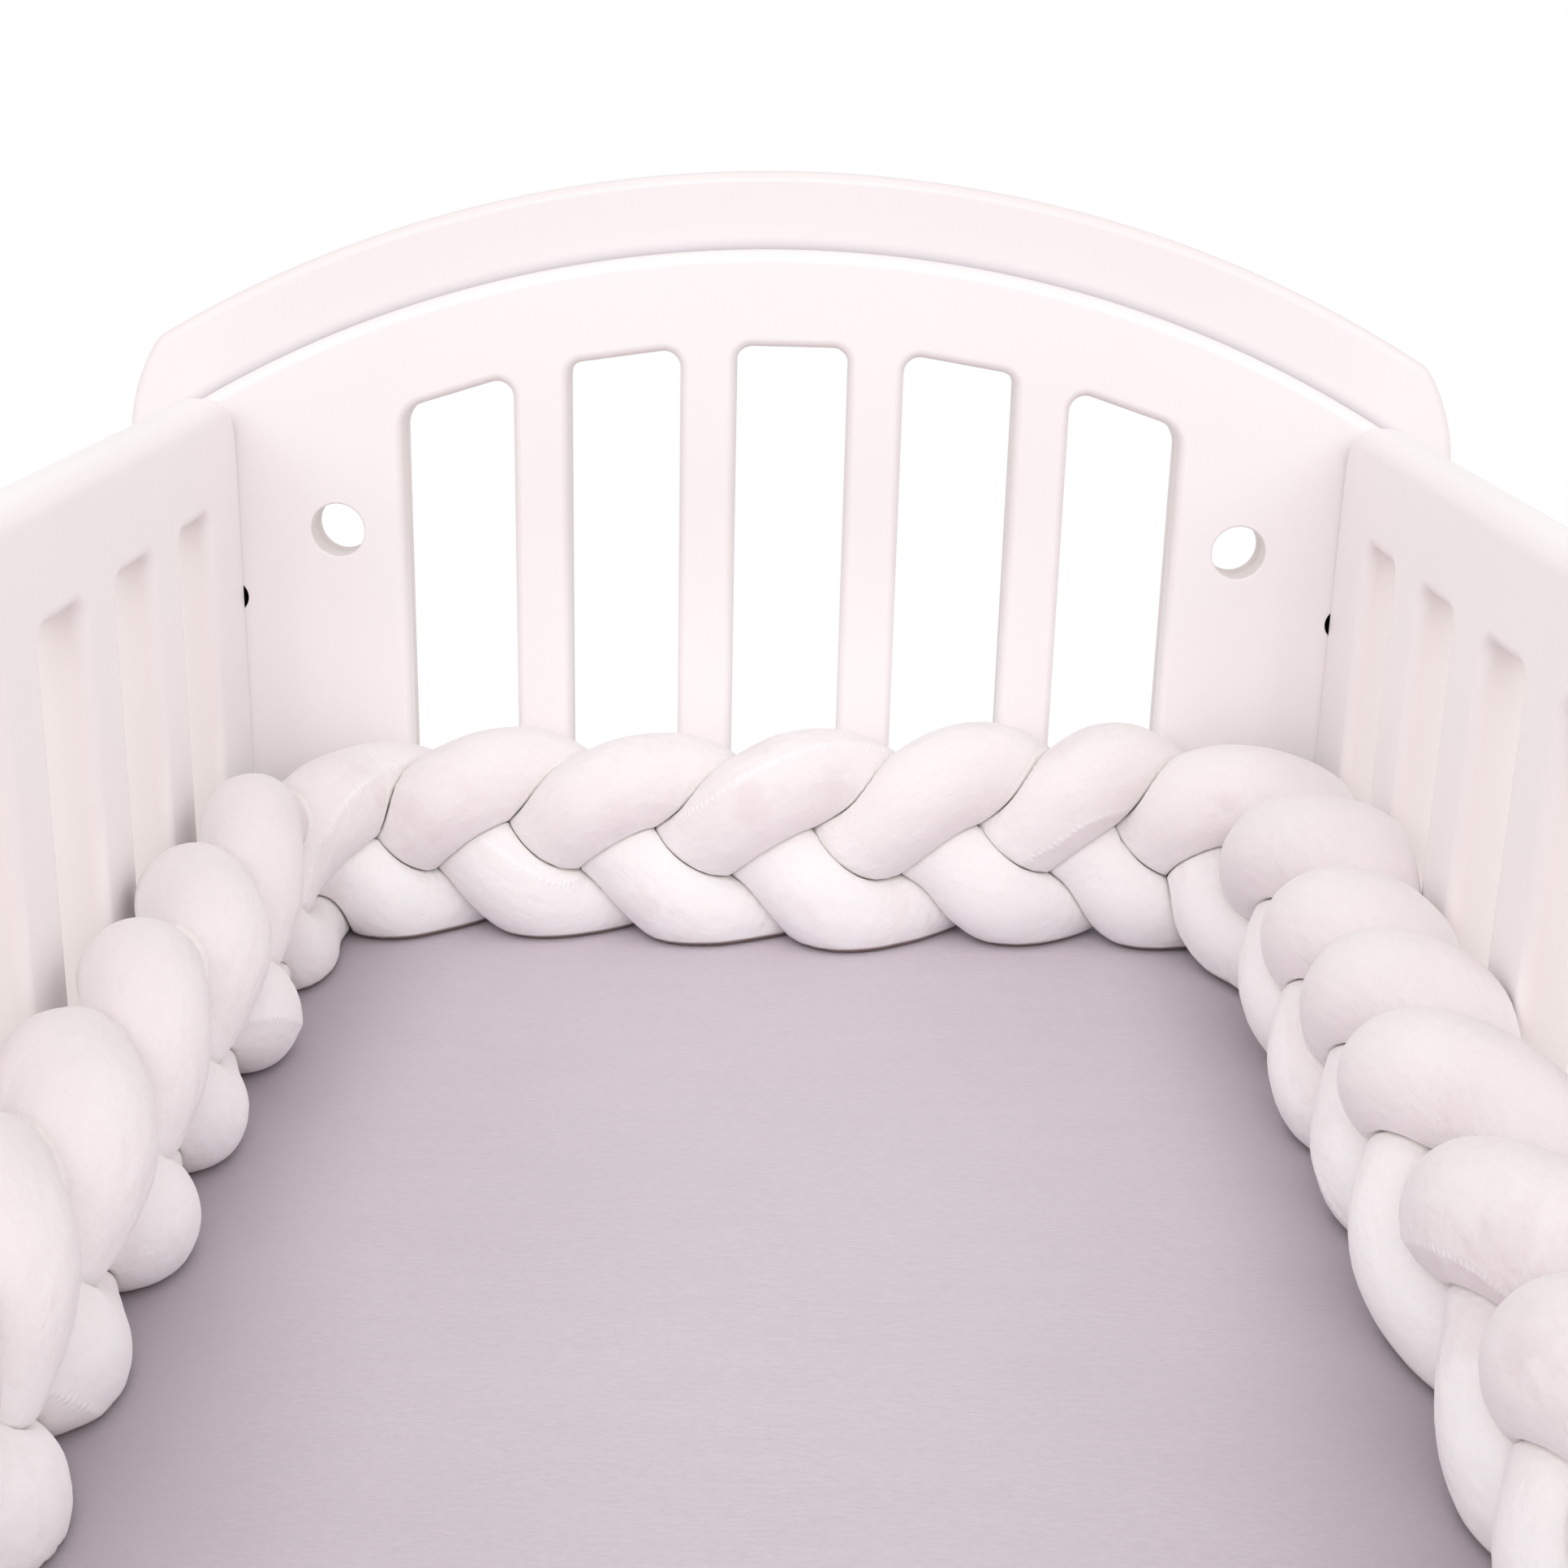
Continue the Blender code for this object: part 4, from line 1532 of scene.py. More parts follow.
class PadTree(GeometrySheet):
    """Geometry Nodes that make a soft pad with rounded edges, crowned and slightly uneven."""

    DOME_POWER = 0.7            # under 1 the crown is flat in the middle
    RUMPLES_PER_METRE = 9.0

    def __init__(self) -> None:
        """Build the tree."""
        super().__init__("soft_pad")
        size = self.given("Size", "Vector")
        middle = self.given("Middle", "Vector")
        edge = self.given("Edge")
        crown = self.given("Crown")
        ripple = self.given("Ripple")
        counts = [self.given("Points " + axis, "Int") for axis in "XYZ"]
        material = self.given("Material", "Material")
        vertices = {"Vertices " + axis: count for axis, count in zip("XYZ", counts)}
        cube = self.shape("GeometryNodeMeshCube", {}, {"Size": size, **vertices})
        place = self.field("GeometryNodeInputPosition")
        inner = size * 0.5 - self.joined(edge, edge, edge)
        core = place.vectors("MINIMUM", inner).vectors("MAXIMUM", inner * -1.0)
        rounded_place = core + (place - core).unit() * edge
        x, y, z = rounded_place.parts()
        half_x, half_y, half_z = (size * 0.5).parts()
        across, along = x / half_x, y / half_y
        dome = (1.0 - across * across) * (1.0 - along * along)
        upper = (z / half_z).step(0.5, 1.0)
        rumple = self.noise(rounded_place * (1.0, 0.6, 1.0), self.RUMPLES_PER_METRE) - 0.5
        lift = upper * dome.clipped() ** self.DOME_POWER * (crown + ripple * rumple)
        pad = self.placed(cube, rounded_place + self.joined(0.0, 0.0, lift) + middle)
        self.close(self.smoothed(pad, True), material)


@dataclass
class Bed(Piecework):
    """The mattress, and the base and cleats under it, which keep their CAD shape."""

    cover: bpy.types.Material
    base_wood: bpy.types.Material
    cleat_wood: bpy.types.Material
    edge: float = 0.018
    crown: float = 0.0016
    ripple: float = 0.0022
    spacing: float = 0.008

    def build(self) -> None:
        """Make the mattress, and give the base and cleats their wood."""
        low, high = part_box("mattress")
        size = high - low
        middle = (high + low) / 2
        tree = PadTree()
        values = {
            "Size": tuple(size),
            "Middle": tuple(middle),
            "Edge": self.edge,
            "Crown": self.crown,
            "Ripple": self.ripple,
            "Material": self.cover,
        }
        for axis, length in zip("XYZ", size):
            values["Points " + axis] = int(round(length / self.spacing)) + 1
        pad = tree.make("velvet_mattress", bpy.data.meshes.new("mattress_start"), values, [])
        self.hand_over(pad, ["mattress"], Slot.COVER)
        for node, wood in (
            ("base", self.base_wood),
            ("head_cleat", self.cleat_wood),
            ("foot_cleat", self.cleat_wood),
        ):
            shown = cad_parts[node]
            shown.data.materials.clear()
            shown.data.materials.append(wood)
            LOG.info("%s: CAD shape in bare wood", node)


# The braid


class TubeTree(GeometrySheet):
    """Geometry Nodes that plait one tube and press it against what it touches.

    The tree is given the braid's middle line. It swings the line into the three strands, sweeps one
    of them, and finds for every point of the skin how far it may stand from the strand's middle:
    half way to the other two strands, and up to the mattress and the crib. The skin is round where
    it is free.
    """

    SEAM_CROWDING = 0.55        # how much closer the skin's points stand near the seam
    SEARCH_START = 0.055        # further than any skin point stands from its strand's middle
    SEARCH_STEPS = 15           # each one halves the range in which the contact lies
    MOST_ROOM = 1.4             # the attribute "room" ends here; under 1 a strand is in the way
    LEAST = 1e-4                # keeps what is divided by or raised to a power above 0
    STRAND_SHIFT = 3.1          # sets the strands' lumps apart
    LUMPS_PER_METRE = 26.0
    CREASES_PER_METRE = 75.0
    SEAM_ROUND = 0.031          # length of skin per radian round a tube
    SEAM_FADE = 0.0060          # over which the seam's ridge falls off
    DETAIL_FADE = 0.010         # over which lumps and creases fade towards a contact
    DETAIL_LEFT = 0.6           # how much of them is left at the contact
    ENDS_CLOSE = 50.0           # over 1, a tube keeps its pressed shape until just before its end

    def __init__(self) -> None:
        """Build the tree."""
        super().__init__("pressed_tube")
        names = (
            "Strand", "Swing Up", "Swing Up 3", "Swing Deep", "Swing Deep 4", "Swing Late", "Skew",
            "Lean", "Wide", "Deep", "Softness", "Cloth Gap", "Fit Gap", "Floor", "Half Width",
            "Half Length", "Seam Height", "Lump Height", "Crease Depth",
        )
        self.sizes = {name: self.given(name) for name in names}
        sides = self.given("Sides", "Int")
        material = self.given("Material", "Material")
        own = self.strand_line(0)
        others = self.together([self.strand_line(1), self.strand_line(2)])
        skin = self.sweep(self.rail(own), sides)
        theta = self.attribute("round") + self.attribute("seam")
        across, deep, middle = (self.attribute(n, "FLOAT_VECTOR") for n in ("across", "deep", "middle"))
        ray = across * theta.cosine() + deep * theta.sine()
        skin = self.store(skin, "ray", ray, "FLOAT_VECTOR")
        skin = self.search(skin, others)
        contact = self.attribute("near") - self.sizes["Cloth Gap"]
        room = contact / (self.round_skin(theta) * self.attribute("full"))
        skin = self.store(skin, "room", room.least(self.MOST_ROOM))
        ray = self.attribute("ray", "FLOAT_VECTOR")
        radius = self.pressed(theta, ray, middle)
        skin = self.placed(skin, middle + ray * radius)
        skin = self.facing(skin, ray)
        self.close(self.smoothed(skin, True), material)

    def strand_line(self, shift: int) -> Signal:
        """Return the middle line of a strand.

        Args:
            shift: 0 for the strand itself, 1 or 2 for the others.

        Returns:
            The line as edges.
        """
        size = self.sizes
        turn = self.attribute("turn") - (size["Strand"] + float(shift)) * (TURN / 3)
        turn = turn + size["Skew"] * (turn * 2.0).sine()
        gather = self.attribute("gather")
        swing = turn.cosine() + size["Swing Up 3"] / size["Swing Up"] * (turn * 3.0).cosine()
        up = (size["Swing Up"] * gather + self.attribute("rise") * swing.most(0.0)) * swing
        up = up - self.attribute("sink") * (-swing).most(0.0)
        deep = size["Swing Deep 4"] * (turn * 4.0).sine() * gather
        reach = size["Swing Deep"] * gather + self.attribute("reach")
        deep = deep - reach * (turn * 2.0 + size["Swing Late"]).sine()
        inward = deep - size["Lean"] * up
        offset = self.attribute("inward", "FLOAT_VECTOR") * inward + self.joined(0.0, 0.0, up)
        return self.shifted(self.base(), offset)

    def rail(self, line: Signal) -> Signal:
        """Return a strand's line as a curve with its middle, two cross directions and run on it.

        Args:
            line: The strand's middle line.

        Returns:
            The curve.
        """
        curve = self.shape("GeometryNodeMeshToCurve", {}, {"Mesh": line})
        curve = self.store(curve, "middle", self.field("GeometryNodeInputPosition"), "FLOAT_VECTOR")
        curve = self.store(curve, "run", self.field("GeometryNodeSplineParameter", "Length"))
        inward = self.attribute("inward", "FLOAT_VECTOR")
        tangent = self.field("GeometryNodeInputTangent")
        tangent = tangent * tangent.dot(inward.cross(UP)).maths("SIGN") * -1.0
        deep = (inward - tangent * inward.dot(tangent)).unit()
        curve = self.store(curve, "deep", deep, "FLOAT_VECTOR")
        return self.store(curve, "across", deep.cross(tangent), "FLOAT_VECTOR")

    def sweep(self, rail: Signal, sides: Value) -> Signal:
        """Return the unshaped skin, with its place round the tube and its UV map.

        Args:
            rail: The strand's curve.
            sides: How many points go round the tube.

        Returns:
            The skin.
        """
        ring = self.row_of_points(sides + 1.0)
        share = self.field("GeometryNodeSplineParameter", "Index") / sides
        turned = share * TURN
        ring = self.store(ring, "round", turned - turned.sine() * self.SEAM_CROWDING)
        inputs = {"Curve": rail, "Profile Curve": ring}
        skin = self.shape("GeometryNodeCurveToMesh", {}, inputs)
        place = self.joined(self.attribute("run"), self.attribute("round") / TURN, 0.0)
        return self.store(skin, "UVMap", place, "FLOAT2", "CORNER")

    def search(self, skin: Signal, others: Signal) -> Signal:
        """Find how far out the skin may go before another strand is nearer.

        Args:
            skin: The swept skin.
            others: The middle lines of the other strands.

        Returns:
            The skin, with that distance as its attribute "near".
        """
        start = self.tree.nodes.new("GeometryNodeRepeatInput")
        end = self.tree.nodes.new("GeometryNodeRepeatOutput")
        start.pair_with_output(end)
        start.inputs["Iterations"].default_value = self.SEARCH_STEPS
        skin = self.store(self.store(skin, "near", 0.0), "far", self.SEARCH_START)
        self.feed(start.inputs["Geometry"], skin)
        near, far = self.attribute("near"), self.attribute("far")
        half = (near + far) * 0.5
        probe = self.attribute("middle", "FLOAT_VECTOR") + self.attribute("ray", "FLOAT_VECTOR") * half
        inputs = {"Target": others, "Sample Position": probe}
        closest = self.node("GeometryNodeProximity", {"target_element": "EDGES"}, inputs)
        skin = self.store(self.read(start, "Geometry"), "half", half)
        skin = self.store(skin, "free", self.read(closest, "Distance") > half)
        free, half = self.attribute("free"), self.attribute("half")
        skin = self.store(skin, "near", near * (1.0 - free) + half * free)
        skin = self.store(skin, "far", half * (1.0 - free) + far * free)
        self.feed(end.inputs["Geometry"], skin)
        return self.read(end, "Geometry")

    def round_skin(self, theta: Value) -> Value:
        """Return how far the free skin is from the strand's middle, at an angle round it."""
        up_part, deep_part = theta.cosine() / self.sizes["Wide"], theta.sine() / self.sizes["Deep"]
        return 1.0 / (up_part * up_part + deep_part * deep_part).maths("SQRT")

    def pressed(self, theta: Value, ray: Arrow, middle: Arrow) -> Value:
        """Return the distance of the skin from the strand's middle.

        Args:
            theta: Angle round the strand, 0 being up.
            ray: Direction from the middle to the skin.
            middle: The strand's middle.

        Returns:
            The distance, smoothly the least of the free skin's and those to what it touches.
        """
        size = self.sizes
        full = self.attribute("full")
        round_skin = self.round_skin(theta)
        apart = self.joined(size["Strand"] * self.STRAND_SHIFT, 0.0, 0.0)
        outside = middle + ray * round_skin + apart
        lumps = self.noise(outside, self.LUMPS_PER_METRE, detail=1.0) - 0.5
        creases = self.noise(outside, self.CREASES_PER_METRE).step(0.30, 0.50)
        from_seam = (math.pi - abs(self.attribute("round") - math.pi)) * self.SEAM_ROUND
        ridge = self.maths("POWER", math.e, from_seam / -self.SEAM_FADE)
        contact = self.attribute("near") - size["Cloth Gap"]
        spare = ((contact - round_skin * full) / self.DETAIL_FADE + self.DETAIL_LEFT).clipped()
        detail = lumps * size["Lump Height"] + ridge * size["Seam Height"]
        detail = detail - (1.0 - creases) * size["Crease Depth"]
        free = round_skin * full + detail * spare * full
        x, y, z = middle.parts()
        ray_x, ray_y, ray_z = ray.parts()
        limits = [
            free,
            contact,
            (z - size["Floor"] - size["Fit Gap"]) / (-ray_z).most(self.LEAST),
            (size["Half Width"] + x - size["Fit Gap"]) / (-ray_x).most(self.LEAST),
            (size["Half Width"] - x - size["Fit Gap"]) / ray_x.most(self.LEAST),
            (size["Half Length"] - y - size["Fit Gap"]) / ray_y.most(self.LEAST),
            (size["Half Length"] + y - size["Fit Gap"]) / (-ray_y).most(self.LEAST),
        ]
        closeness = None
        for limit in limits:
            term = (limit.most(self.LEAST) / size["Wide"]) ** -size["Softness"]
            closeness = term if closeness is None else closeness + term
        least = closeness ** (-1.0 / size["Softness"]) * size["Wide"]
        return least * (full * self.ENDS_CLOSE).least(1.0)


class LobeColumn(Enum):
    """What each column of the braid's table of lobes holds."""

    TOP = 0
    RISE = 1
    SINK = 2
    FULL = 3
    OUTWARD = 4
    HIGHER = 5
    REACH = 6


@dataclass
class Braid(Piecework):
    """The bumper: three stuffed velvet tubes plaited into a braid that stands on its edge.

    The braid's distances are measured along its middle line from the middle of the head end, and
    are negative on the left.
    """

    velvet: bpy.types.Material
    mattress_top: float
    half_width: float
    half_length: float
    height: float = 0.0561
    wall_offset: float = 0.0356
    corner_bend: float = 0.068
    end_clearance: float = 0.012
    end_taper: float = 0.060
    end_gather: float = 0.55
    swing_up: float = 0.0310
    swing_deep: float = 0.0104
    swing_up_3: float = 0.0051
    swing_deep_4: float = -0.0025
    swing_late: float = -0.023
    skew: float = -0.132
    lean: float = 0.004
    tube_wide: float = 0.0306
    tube_deep: float = 0.0297
    softness: float = 24.0
    cloth_gap: float = 0.0003
    fit_gap: float = 0.0006
    seam_height: float = 0.0015
    lump_height: float = 0.0022
    crease_depth: float = 0.0003
    rings_per_lobe: int = 30
    sides: int = 96
    phase_blend: float = 0.040
    blend_steps: int = 9
    path_steps: int = 4000
    closing_rings: int = 14
    strands: int = 3

    # For each lobe, in metres: where its tube comes over the top edge, how much higher it rises there,
    # how much lower the tube under it hangs, how full it is (1 is even), how much nearer the wall the
    # braid is, how much higher the braid is, and how much further its tubes swing in and out
    LOBES = (
        (-1.385, -0.001, 0.003, 1.01, -0.003, -0.004, -0.001),
        (-1.283, -0.001, 0.002, 1.00, -0.003, -0.003, 0.000),
        (-1.181, 0.000, 0.004, 0.98, -0.003, -0.003, -0.001),
        (-1.079, 0.000, 0.001, 1.01, 0.000, -0.001, 0.000),
        (-0.968, 0.000, 0.002, 1.03, -0.001, -0.003, 0.000),
        (-0.823, 0.000, 0.006, 1.12, -0.005, -0.010, 0.000),
        (-0.754, -0.002, 0.007, 1.02, -0.003, -0.003, 0.000),
        (-0.656, -0.003, 0.002, 1.00, -0.005, -0.004, 0.000),
        (-0.569, 0.002, 0.003, 0.86, -0.007, -0.001, -0.003),
        (-0.472, -0.002, -0.003, 0.96, -0.005, -0.001, 0.000),
        (-0.367, 0.004, 0.012, 0.84, -0.003, -0.002, -0.006),
        (-0.243, -0.008, 0.003, 0.96, -0.005, -0.005, 0.000),
        (-0.160, -0.004, 0.000, 0.96, 0.000, -0.001, 0.004),
        (-0.076, -0.003, 0.002, 0.94, -0.005, -0.001, 0.000),
        (0.014, 0.001, 0.009, 0.94, -0.007, -0.001, 0.002),
        (0.109, 0.000, 0.000, 1.00, 0.002, 0.002, 0.000),
        (0.189, 0.003, 0.000, 0.94, 0.002, 0.002, -0.002),
        (0.255, -0.001, 0.004, 1.00, 0.001, 0.001, 0.003),
        (0.393, 0.003, -0.003, 1.01, 0.008, 0.005, 0.006),
        (0.474, 0.001, 0.000, 0.99, 0.001, 0.000, 0.001),
        (0.547, -0.002, 0.006, 0.93, 0.003, 0.005, 0.000),
        (0.634, -0.002, 0.004, 0.92, 0.002, 0.004, 0.006),
        (0.758, -0.002, 0.005, 0.97, 0.001, 0.001, 0.000),
        (0.835, -0.002, 0.004, 1.02, -0.002, 0.000, 0.000),
        (0.949, 0.000, 0.001, 1.01, 0.002, 0.000, 0.000),
        (1.037, 0.000, 0.000, 1.00, 0.000, 0.000, 0.000),
        (1.139, 0.000, 0.002, 0.98, 0.002, 0.002, 0.002),
        (1.241, -0.001, 0.003, 0.98, 0.001, 0.001, 0.001),
        (1.343, -0.001, 0.004, 0.97, 0.001, 0.002, 0.001),
    )
    # For each strand: distances (m) and the angle of the seam there, in degrees from the top
    # towards the inside of the crib
    SEAMS = (
        ((-1.400, 215.0), (1.400, 215.0)),
        (
            (-1.400, 190.0), (0.080, 170.0), (0.145, 100.0), (0.160, 104.0), (0.175, 124.0),
            (0.285, 124.0), (0.310, 116.0), (0.360, 180.0), (0.520, 150.0), (0.570, 93.0),
            (0.585, 107.0), (0.720, 109.0), (0.755, 108.0), (1.400, 130.0),
        ),
        (
            (-1.400, 150.0), (-0.600, 125.0), (-0.486, 108.0), (-0.400, 80.0), (-0.317, 61.0),
            (-0.285, 57.0), (-0.224, 42.0), (-0.169, 71.0), (-0.146, 57.0), (-0.124, 45.0),
            (0.000, 43.0), (0.042, 12.0), (0.120, -30.0), (1.400, -60.0),
        ),
    )

    def __post_init__(self) -> None:
        """Work out the braid's middle line on the plan."""
        self.line_x = self.half_width - self.wall_offset
        self.line_head = self.half_length - self.wall_offset
        self.line_foot = -self.half_length + self.end_clearance
        self.side_run = self.line_head - self.corner_bend - self.line_foot
        self.corner_run = self.corner_bend * math.pi / 2
        self.head_run = 2 * (self.line_x - self.corner_bend)
        self.length = 2 * (self.side_run + self.corner_run) + self.head_run

    def plan(self, distances: np.ndarray) -> np.ndarray:
        """Places and headings along the U, from the left foot end.

        Args:
            distances: Distances from that end.

        Returns:
            Rows of X, Y and the heading.
        """
        from_end = np.minimum(distances, self.length - distances)
        turned = np.clip((from_end - self.side_run) / self.corner_bend, 0.0, math.pi / 2)
        on_head = np.maximum(from_end - self.side_run - self.corner_run, 0.0)
        x = -self.line_x + self.corner_bend * (1 - np.cos(turned)) + on_head
        y = self.line_foot + np.minimum(from_end, self.side_run) + self.corner_bend * np.sin(turned)
        heading = math.pi / 2 - turned
        mirror = np.where(distances > self.length / 2, -1.0, 1.0)
        return np.stack([x * mirror, y, heading * mirror], axis=1)

    def column(self, which: LobeColumn) -> np.ndarray:
        """One column of the table of lobes."""
        return np.array([lobe[which.value] for lobe in self.LOBES])

    def turns(self, distances: np.ndarray) -> np.ndarray:
        """Turn of the plait: every lobe is a third of a full turn after the last.

        Args:
            distances: Distances from the left foot end.

        Returns:
            The turn at each, in radians.
        """
        tops = self.column(LobeColumn.TOP) + self.length / 2
        shifts = np.linspace(-self.phase_blend, self.phase_blend, self.blend_steps)
        counted = np.arange(len(tops))
        blended = np.mean([np.interp(distances + shift, tops, counted) for shift in shifts], axis=0)
        return blended * TURN / self.strands

    def eased(self, distances: np.ndarray, which: LobeColumn) -> np.ndarray:
        """One column of the table of lobes, passing smoothly from lobe to lobe.

        Args:
            distances: Distances from the left foot end.
            which: The column.

        Returns:
            Its value at each distance.
        """
        tops = self.column(LobeColumn.TOP) + self.length / 2
        values = self.column(which)
        place = np.interp(distances, tops, np.arange(len(tops)))
        low = np.clip(np.floor(place).astype(int), 0, len(tops) - 2)
        share = place - low
        share = share * share * (3 - 2 * share)
        return values[low] * (1 - share) + values[low + 1] * share

    def middle_line(self, strand: int) -> bpy.types.Mesh:
        """The braid's middle line with what the tree reads at each point of it.

        Args:
            strand: The strand whose seam the line carries.

        Returns:
            A mesh of edges.
        """
        dense = np.linspace(0.0, self.length, self.path_steps)
        lobes = self.turns(dense) * self.strands / TURN
        count = int(round((lobes[-1] - lobes[0]) * self.rings_per_lobe))
        inside = np.interp(np.linspace(lobes[0], lobes[-1], count), lobes + dense * 1e-9, dense)
        quarter = np.linspace(0.0, math.pi / 2, self.closing_rings)
        closing = self.end_taper * (1 - np.cos(quarter))
        middle = inside[(inside > closing[-1]) & (inside < self.length - closing[-1])]
        distances = np.concatenate([closing, middle, (self.length - closing)[::-1]])
        plan = self.plan(distances)
        inward = np.stack([np.sin(plan[:, 2]), -np.cos(plan[:, 2]), np.zeros(len(plan))], axis=1)
        to_end = np.minimum(distances, self.length - distances)
        opened = np.clip(to_end / (2 * self.end_taper), 0.0, 1.0)
        gather = self.end_gather + (1 - self.end_gather) * opened
        closed = np.clip(to_end / self.end_taper, 0.0, 1.0)
        full = np.sqrt(closed * (2 - closed)) * self.eased(distances, LobeColumn.FULL)
        points = np.column_stack([plan[:, :2], np.full(len(plan), self.mattress_top + self.height)])
        points -= inward * self.eased(distances, LobeColumn.OUTWARD)[:, None]
        points[:, 2] += self.eased(distances, LobeColumn.HIGHER)
        knots = np.array(self.SEAMS[strand])
        from_middle = distances - self.length / 2
        columns = {
            "inward": inward,
            "turn": self.turns(distances),
            "gather": gather,
            "rise": self.eased(distances, LobeColumn.RISE),
            "sink": self.eased(distances, LobeColumn.SINK),
            "reach": self.eased(distances, LobeColumn.REACH),
            "full": full,
            "seam": np.radians(np.interp(from_middle, knots[:, 0], knots[:, 1])),
        }
        edges = [(i, i + 1) for i in range(len(points) - 1)]
        return line_mesh("braid_middle", points, edges, columns)

    def build(self) -> None:
        """Make the three strands."""
        tree = TubeTree()
        for strand in range(self.strands):
            values = {
                "Strand": float(strand),
                "Swing Up": self.swing_up,
                "Swing Up 3": self.swing_up_3,
                "Swing Deep": self.swing_deep,
                "Swing Deep 4": self.swing_deep_4,
                "Swing Late": self.swing_late,
                "Skew": self.skew,
                "Lean": self.lean,
                "Wide": self.tube_wide,
                "Deep": self.tube_deep,
                "Softness": self.softness,
                "Cloth Gap": self.cloth_gap,
                "Fit Gap": self.fit_gap,
                "Floor": self.mattress_top,
                "Half Width": self.half_width,
                "Half Length": self.half_length,
                "Seam Height": self.seam_height,
                "Lump Height": self.lump_height,
                "Crease Depth": self.crease_depth,
                "Sides": self.sides,
                "Material": self.velvet,
            }
            piece = tree.make(f"velvet_strand_{strand + 1}", self.middle_line(strand), values, ["room"])
            self.hand_over(piece, [f"strand_{strand + 1}"], Slot.BRAID)


# The studio


@dataclass
class Studio:
    """The camera, the lights, the white surroundings and the floor.

    The camera looks down the crib from over its middle. Its turns are in degrees.
    """

    lens: float = 48.997
    sensor: float = 36.0
    camera_place: Triple = (0.0068, -0.5818, 1.04)
    pitch: float = 17.8643
    yaw: float = -0.2676
    roll: float = 1.4152
    clip: Pair = (0.01, 50.0)
    floor_radius: float = 2.6
    floor_solid: float = 1.5
    floor_clear: float = 0.98
    floor_sunk: float = 0.0005
    floor_rings: int = 24
    floor_spokes: int = 96
    horizon: float = 0.86
    zenith: float = 0.79
    zenith_height: float = 0.9

    def aim_camera(self) -> None:
        """Make the camera of the photograph's view."""
        pitch, yaw, roll = (math.radians(a) for a in (self.pitch, self.yaw, self.roll))
        flat = math.cos(pitch)
        ahead = Vector((math.sin(yaw) * flat, math.cos(yaw) * flat, -math.sin(pitch)))
        level = Vector((math.cos(yaw), -math.sin(yaw), 0.0))
        above = level.cross(ahead)
        right = level * math.cos(roll) + above * math.sin(roll)
        top = above * math.cos(roll) - level * math.sin(roll)
        lens = bpy.data.cameras.new("camera")
        lens.lens = self.lens
        lens.sensor_width = self.sensor
        lens.clip_start, lens.clip_end = self.clip
        camera = bpy.data.objects.new("camera", lens)
        bpy.context.scene.collection.objects.link(camera)
        axes = Matrix([right, top, -ahead]).transposed().to_4x4()
        camera.matrix_world = Matrix.Translation(self.camera_place) @ axes
        bpy.context.scene.camera = camera

    def add_light(
        self, name: str, place: Triple, target: Triple, size: float, power: float
    ) -> None:
        """Hang one square soft light.

        Args:
            name: Its name.
            place: Where it hangs.
            target: What it points at.
            size: Its width.
            power: Its power in watts.
        """
        lamp = bpy.data.lights.new(name, "AREA")
        lamp.size = size
        lamp.energy = power
        light = bpy.data.objects.new(name, lamp)
        bpy.context.scene.collection.objects.link(light)
        light.location = place
        light.rotation_euler = (Vector(target) - Vector(place)).to_track_quat("-Z", "Y").to_euler()

    def surround_with_white(self) -> None:
        """Light the scene softly, more from the sides than from above, on plain white."""
        world = bpy.data.worlds.new("white_surround")
        world.use_nodes = True
        sheet = NodeSheet(world.node_tree)
        sheet.tree.nodes.clear()
        seen = sheet.read(sheet.node("ShaderNodeLightPath"), "Is Camera Ray")
        way = sheet.read(sheet.node("ShaderNodeTexCoord"), "Generated")
        upward = way.parts()[2].step(0.0, self.zenith_height)
        lit = self.horizon + upward * (self.zenith - self.horizon)
        strength = lit * (1.0 - seen) + seen
        sky = sheet.node("ShaderNodeBackground", {}, {"Color": (1.0, 1.0, 1.0), "Strength": strength})
        output = sheet.node("ShaderNodeOutputWorld")
        sheet.tree.links.new(sky.outputs[0], output.inputs[0])
        bpy.context.scene.world = world

    def lay_floor(self) -> None:
        """Lay a round pale floor that fades into the white surroundings."""
        rings, spokes = self.floor_rings, self.floor_spokes
        points = [(0.0, 0.0, -self.floor_sunk)]
        faces = []
        for ring in range(1, rings + 1):
            radius = self.floor_radius * ring / rings
            for spoke in range(spokes):
                angle = TURN * spoke / spokes
                points.append((radius * math.cos(angle), radius * math.sin(angle), -self.floor_sunk))
        for spoke in range(spokes):
            after = (spoke + 1) % spokes
            faces.append((0, 1 + spoke, 1 + after))
            for ring in range(rings - 1):
                inner, outer = 1 + ring * spokes, 1 + (ring + 1) * spokes
                faces.append((inner + spoke, outer + spoke, outer + after, inner + after))
        mesh = bpy.data.meshes.new("floor")
        mesh.from_pydata(points, [], faces)
        mesh.materials.append(self.floor_finish())
        floor = bpy.data.objects.new("floor", mesh)
        bpy.context.scene.collection.objects.link(floor)

    def floor_finish(self) -> bpy.types.Material:
        """Mix the floor's matt white, which is clear at its rim.

        Returns:
            The material.
        """
        sheet = ShaderSheet("pale_floor")
        here = sheet.here()
        away = (here * (1.0, 1.0, 0.0)).length()
        grain = sheet.noise(here, scale=60.0, detail=3.0)
        tone = sheet.blend(grain, (0.93, 0.93, 0.93), (0.90, 0.90, 0.90))
        return sheet.surface(
            Base_Color=tone,
            Roughness=0.75 + grain * 0.1,
            Alpha=1.0 - away.step(self.floor_solid, self.floor_radius * self.floor_clear),
            Specular_IOR_Level=0.2,
        )

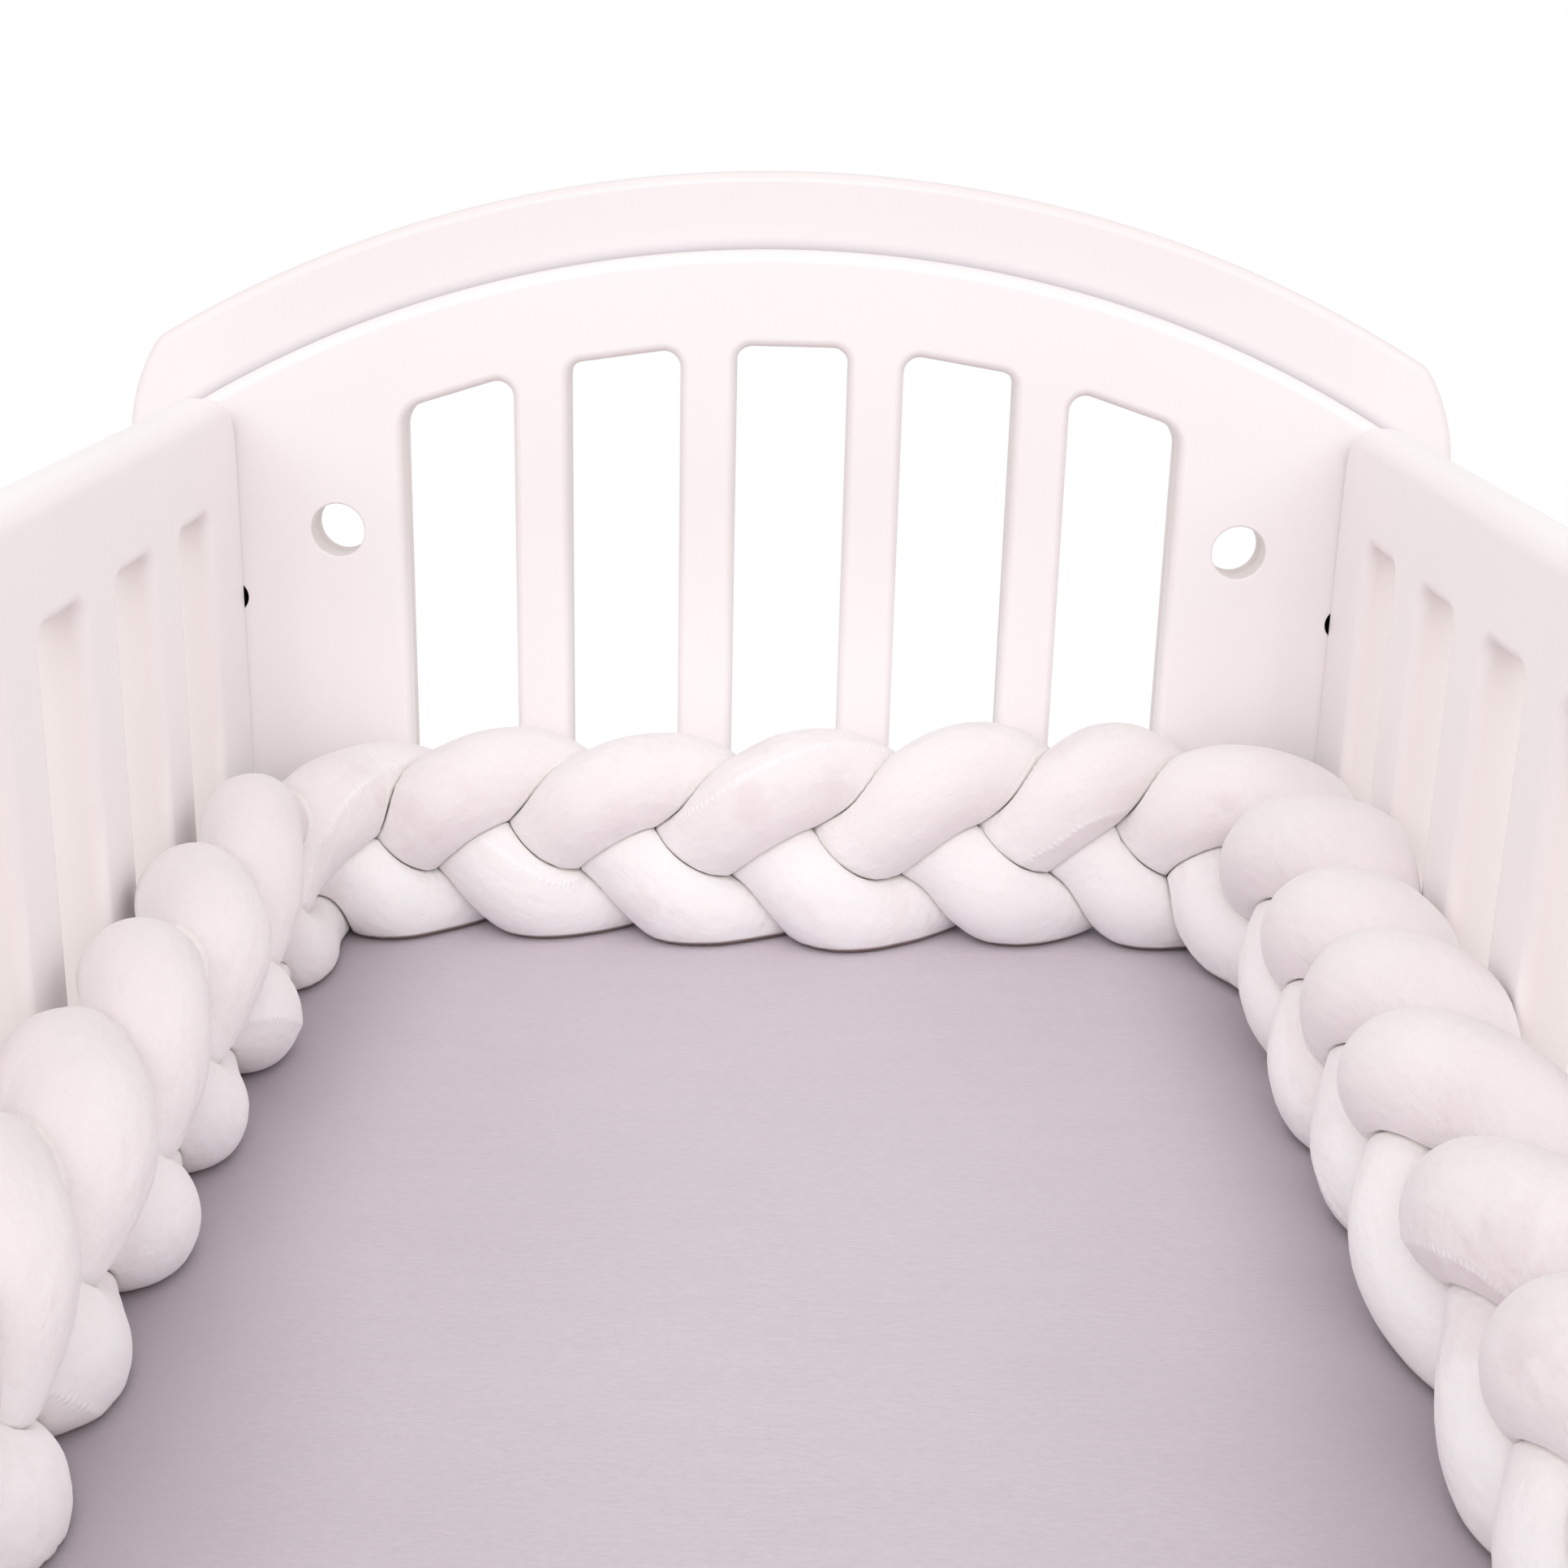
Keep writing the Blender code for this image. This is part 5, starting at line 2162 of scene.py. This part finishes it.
    def build(self) -> None:
        """Set up the whole studio."""
        bpy.context.scene.view_settings.view_transform = "Standard"
        self.aim_camera()
        self.surround_with_white()
        self.lay_floor()
        self.add_light("front", (0.0, -3.6, 3.2), (0.0, 0.3, 0.7), size=2.4, power=50.0)
        for flank in Flank:
            name, side = flank.name.lower(), float(flank.value)
            target, low_target = (-side * 0.2, 0.1, 0.7), (-side * 0.2, 0.4, 0.65)
            self.add_light(name + "_fill", (side * 3.0, -1.6, 3.4), target, size=2.2, power=11.5)
            self.add_light(name + "_low", (side * 0.9, -1.0, 1.6), low_target, size=0.8, power=4.4)
        LOG.info("studio: camera, surroundings, floor and five soft lights")


MASK_OVER = 0.0003          # a hole's painted bare wood and shadow start this far in, and are this much wider
MASK_BEHIND = 0.0005        # it ends this far behind the back board's covered face


def main() -> None:
    """Build the crib, the bed, the braid and the studio."""
    logging.basicConfig(level=logging.INFO, format="%(message)s")
    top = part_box("mattress")[1].z
    half_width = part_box("right_side")[0].x
    half_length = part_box("head_panel")[0].y
    offset, height, radius = EndWall.bolt_hole
    depth = EndWall.panel_thickness + EndWall.board_gap
    hole = (offset, top + height, radius + MASK_OVER)
    hole_depths = (half_length + MASK_OVER, half_length + depth + MASK_BEHIND)
    arch_radius = EndWall.panel_arch_radius
    arch = (top + EndWall.panel_arch_top - arch_radius, arch_radius)
    panel_paint = PanelPaint("panel_paint", hole, hole_depths, arch=arch).build()
    board_paint = BoardPaint("board_paint", hole, hole_depths, arch=arch).build()
    side_paint = SidePaint("side_paint", hole, hole_depths).build()
    base_wood = BareWood("base_pine", along_x=False)
    cleat_wood = BareWood("cleat_pine", along_x=True)
    tree = BoardTree()
    for end in End:
        EndWall(end, tree, panel_paint, board_paint, top, half_length).build()
    for flank in Flank:
        SideWall(flank, tree, side_paint, top, half_width, half_length).build()
    Bed(CoverVelvet(half_width).build(), base_wood.build(), cleat_wood.build()).build()
    Braid(BraidVelvet(top, half_width).build(), top, half_width, half_length).build()
    Studio().build()


if __name__ == "__main__":
    main()
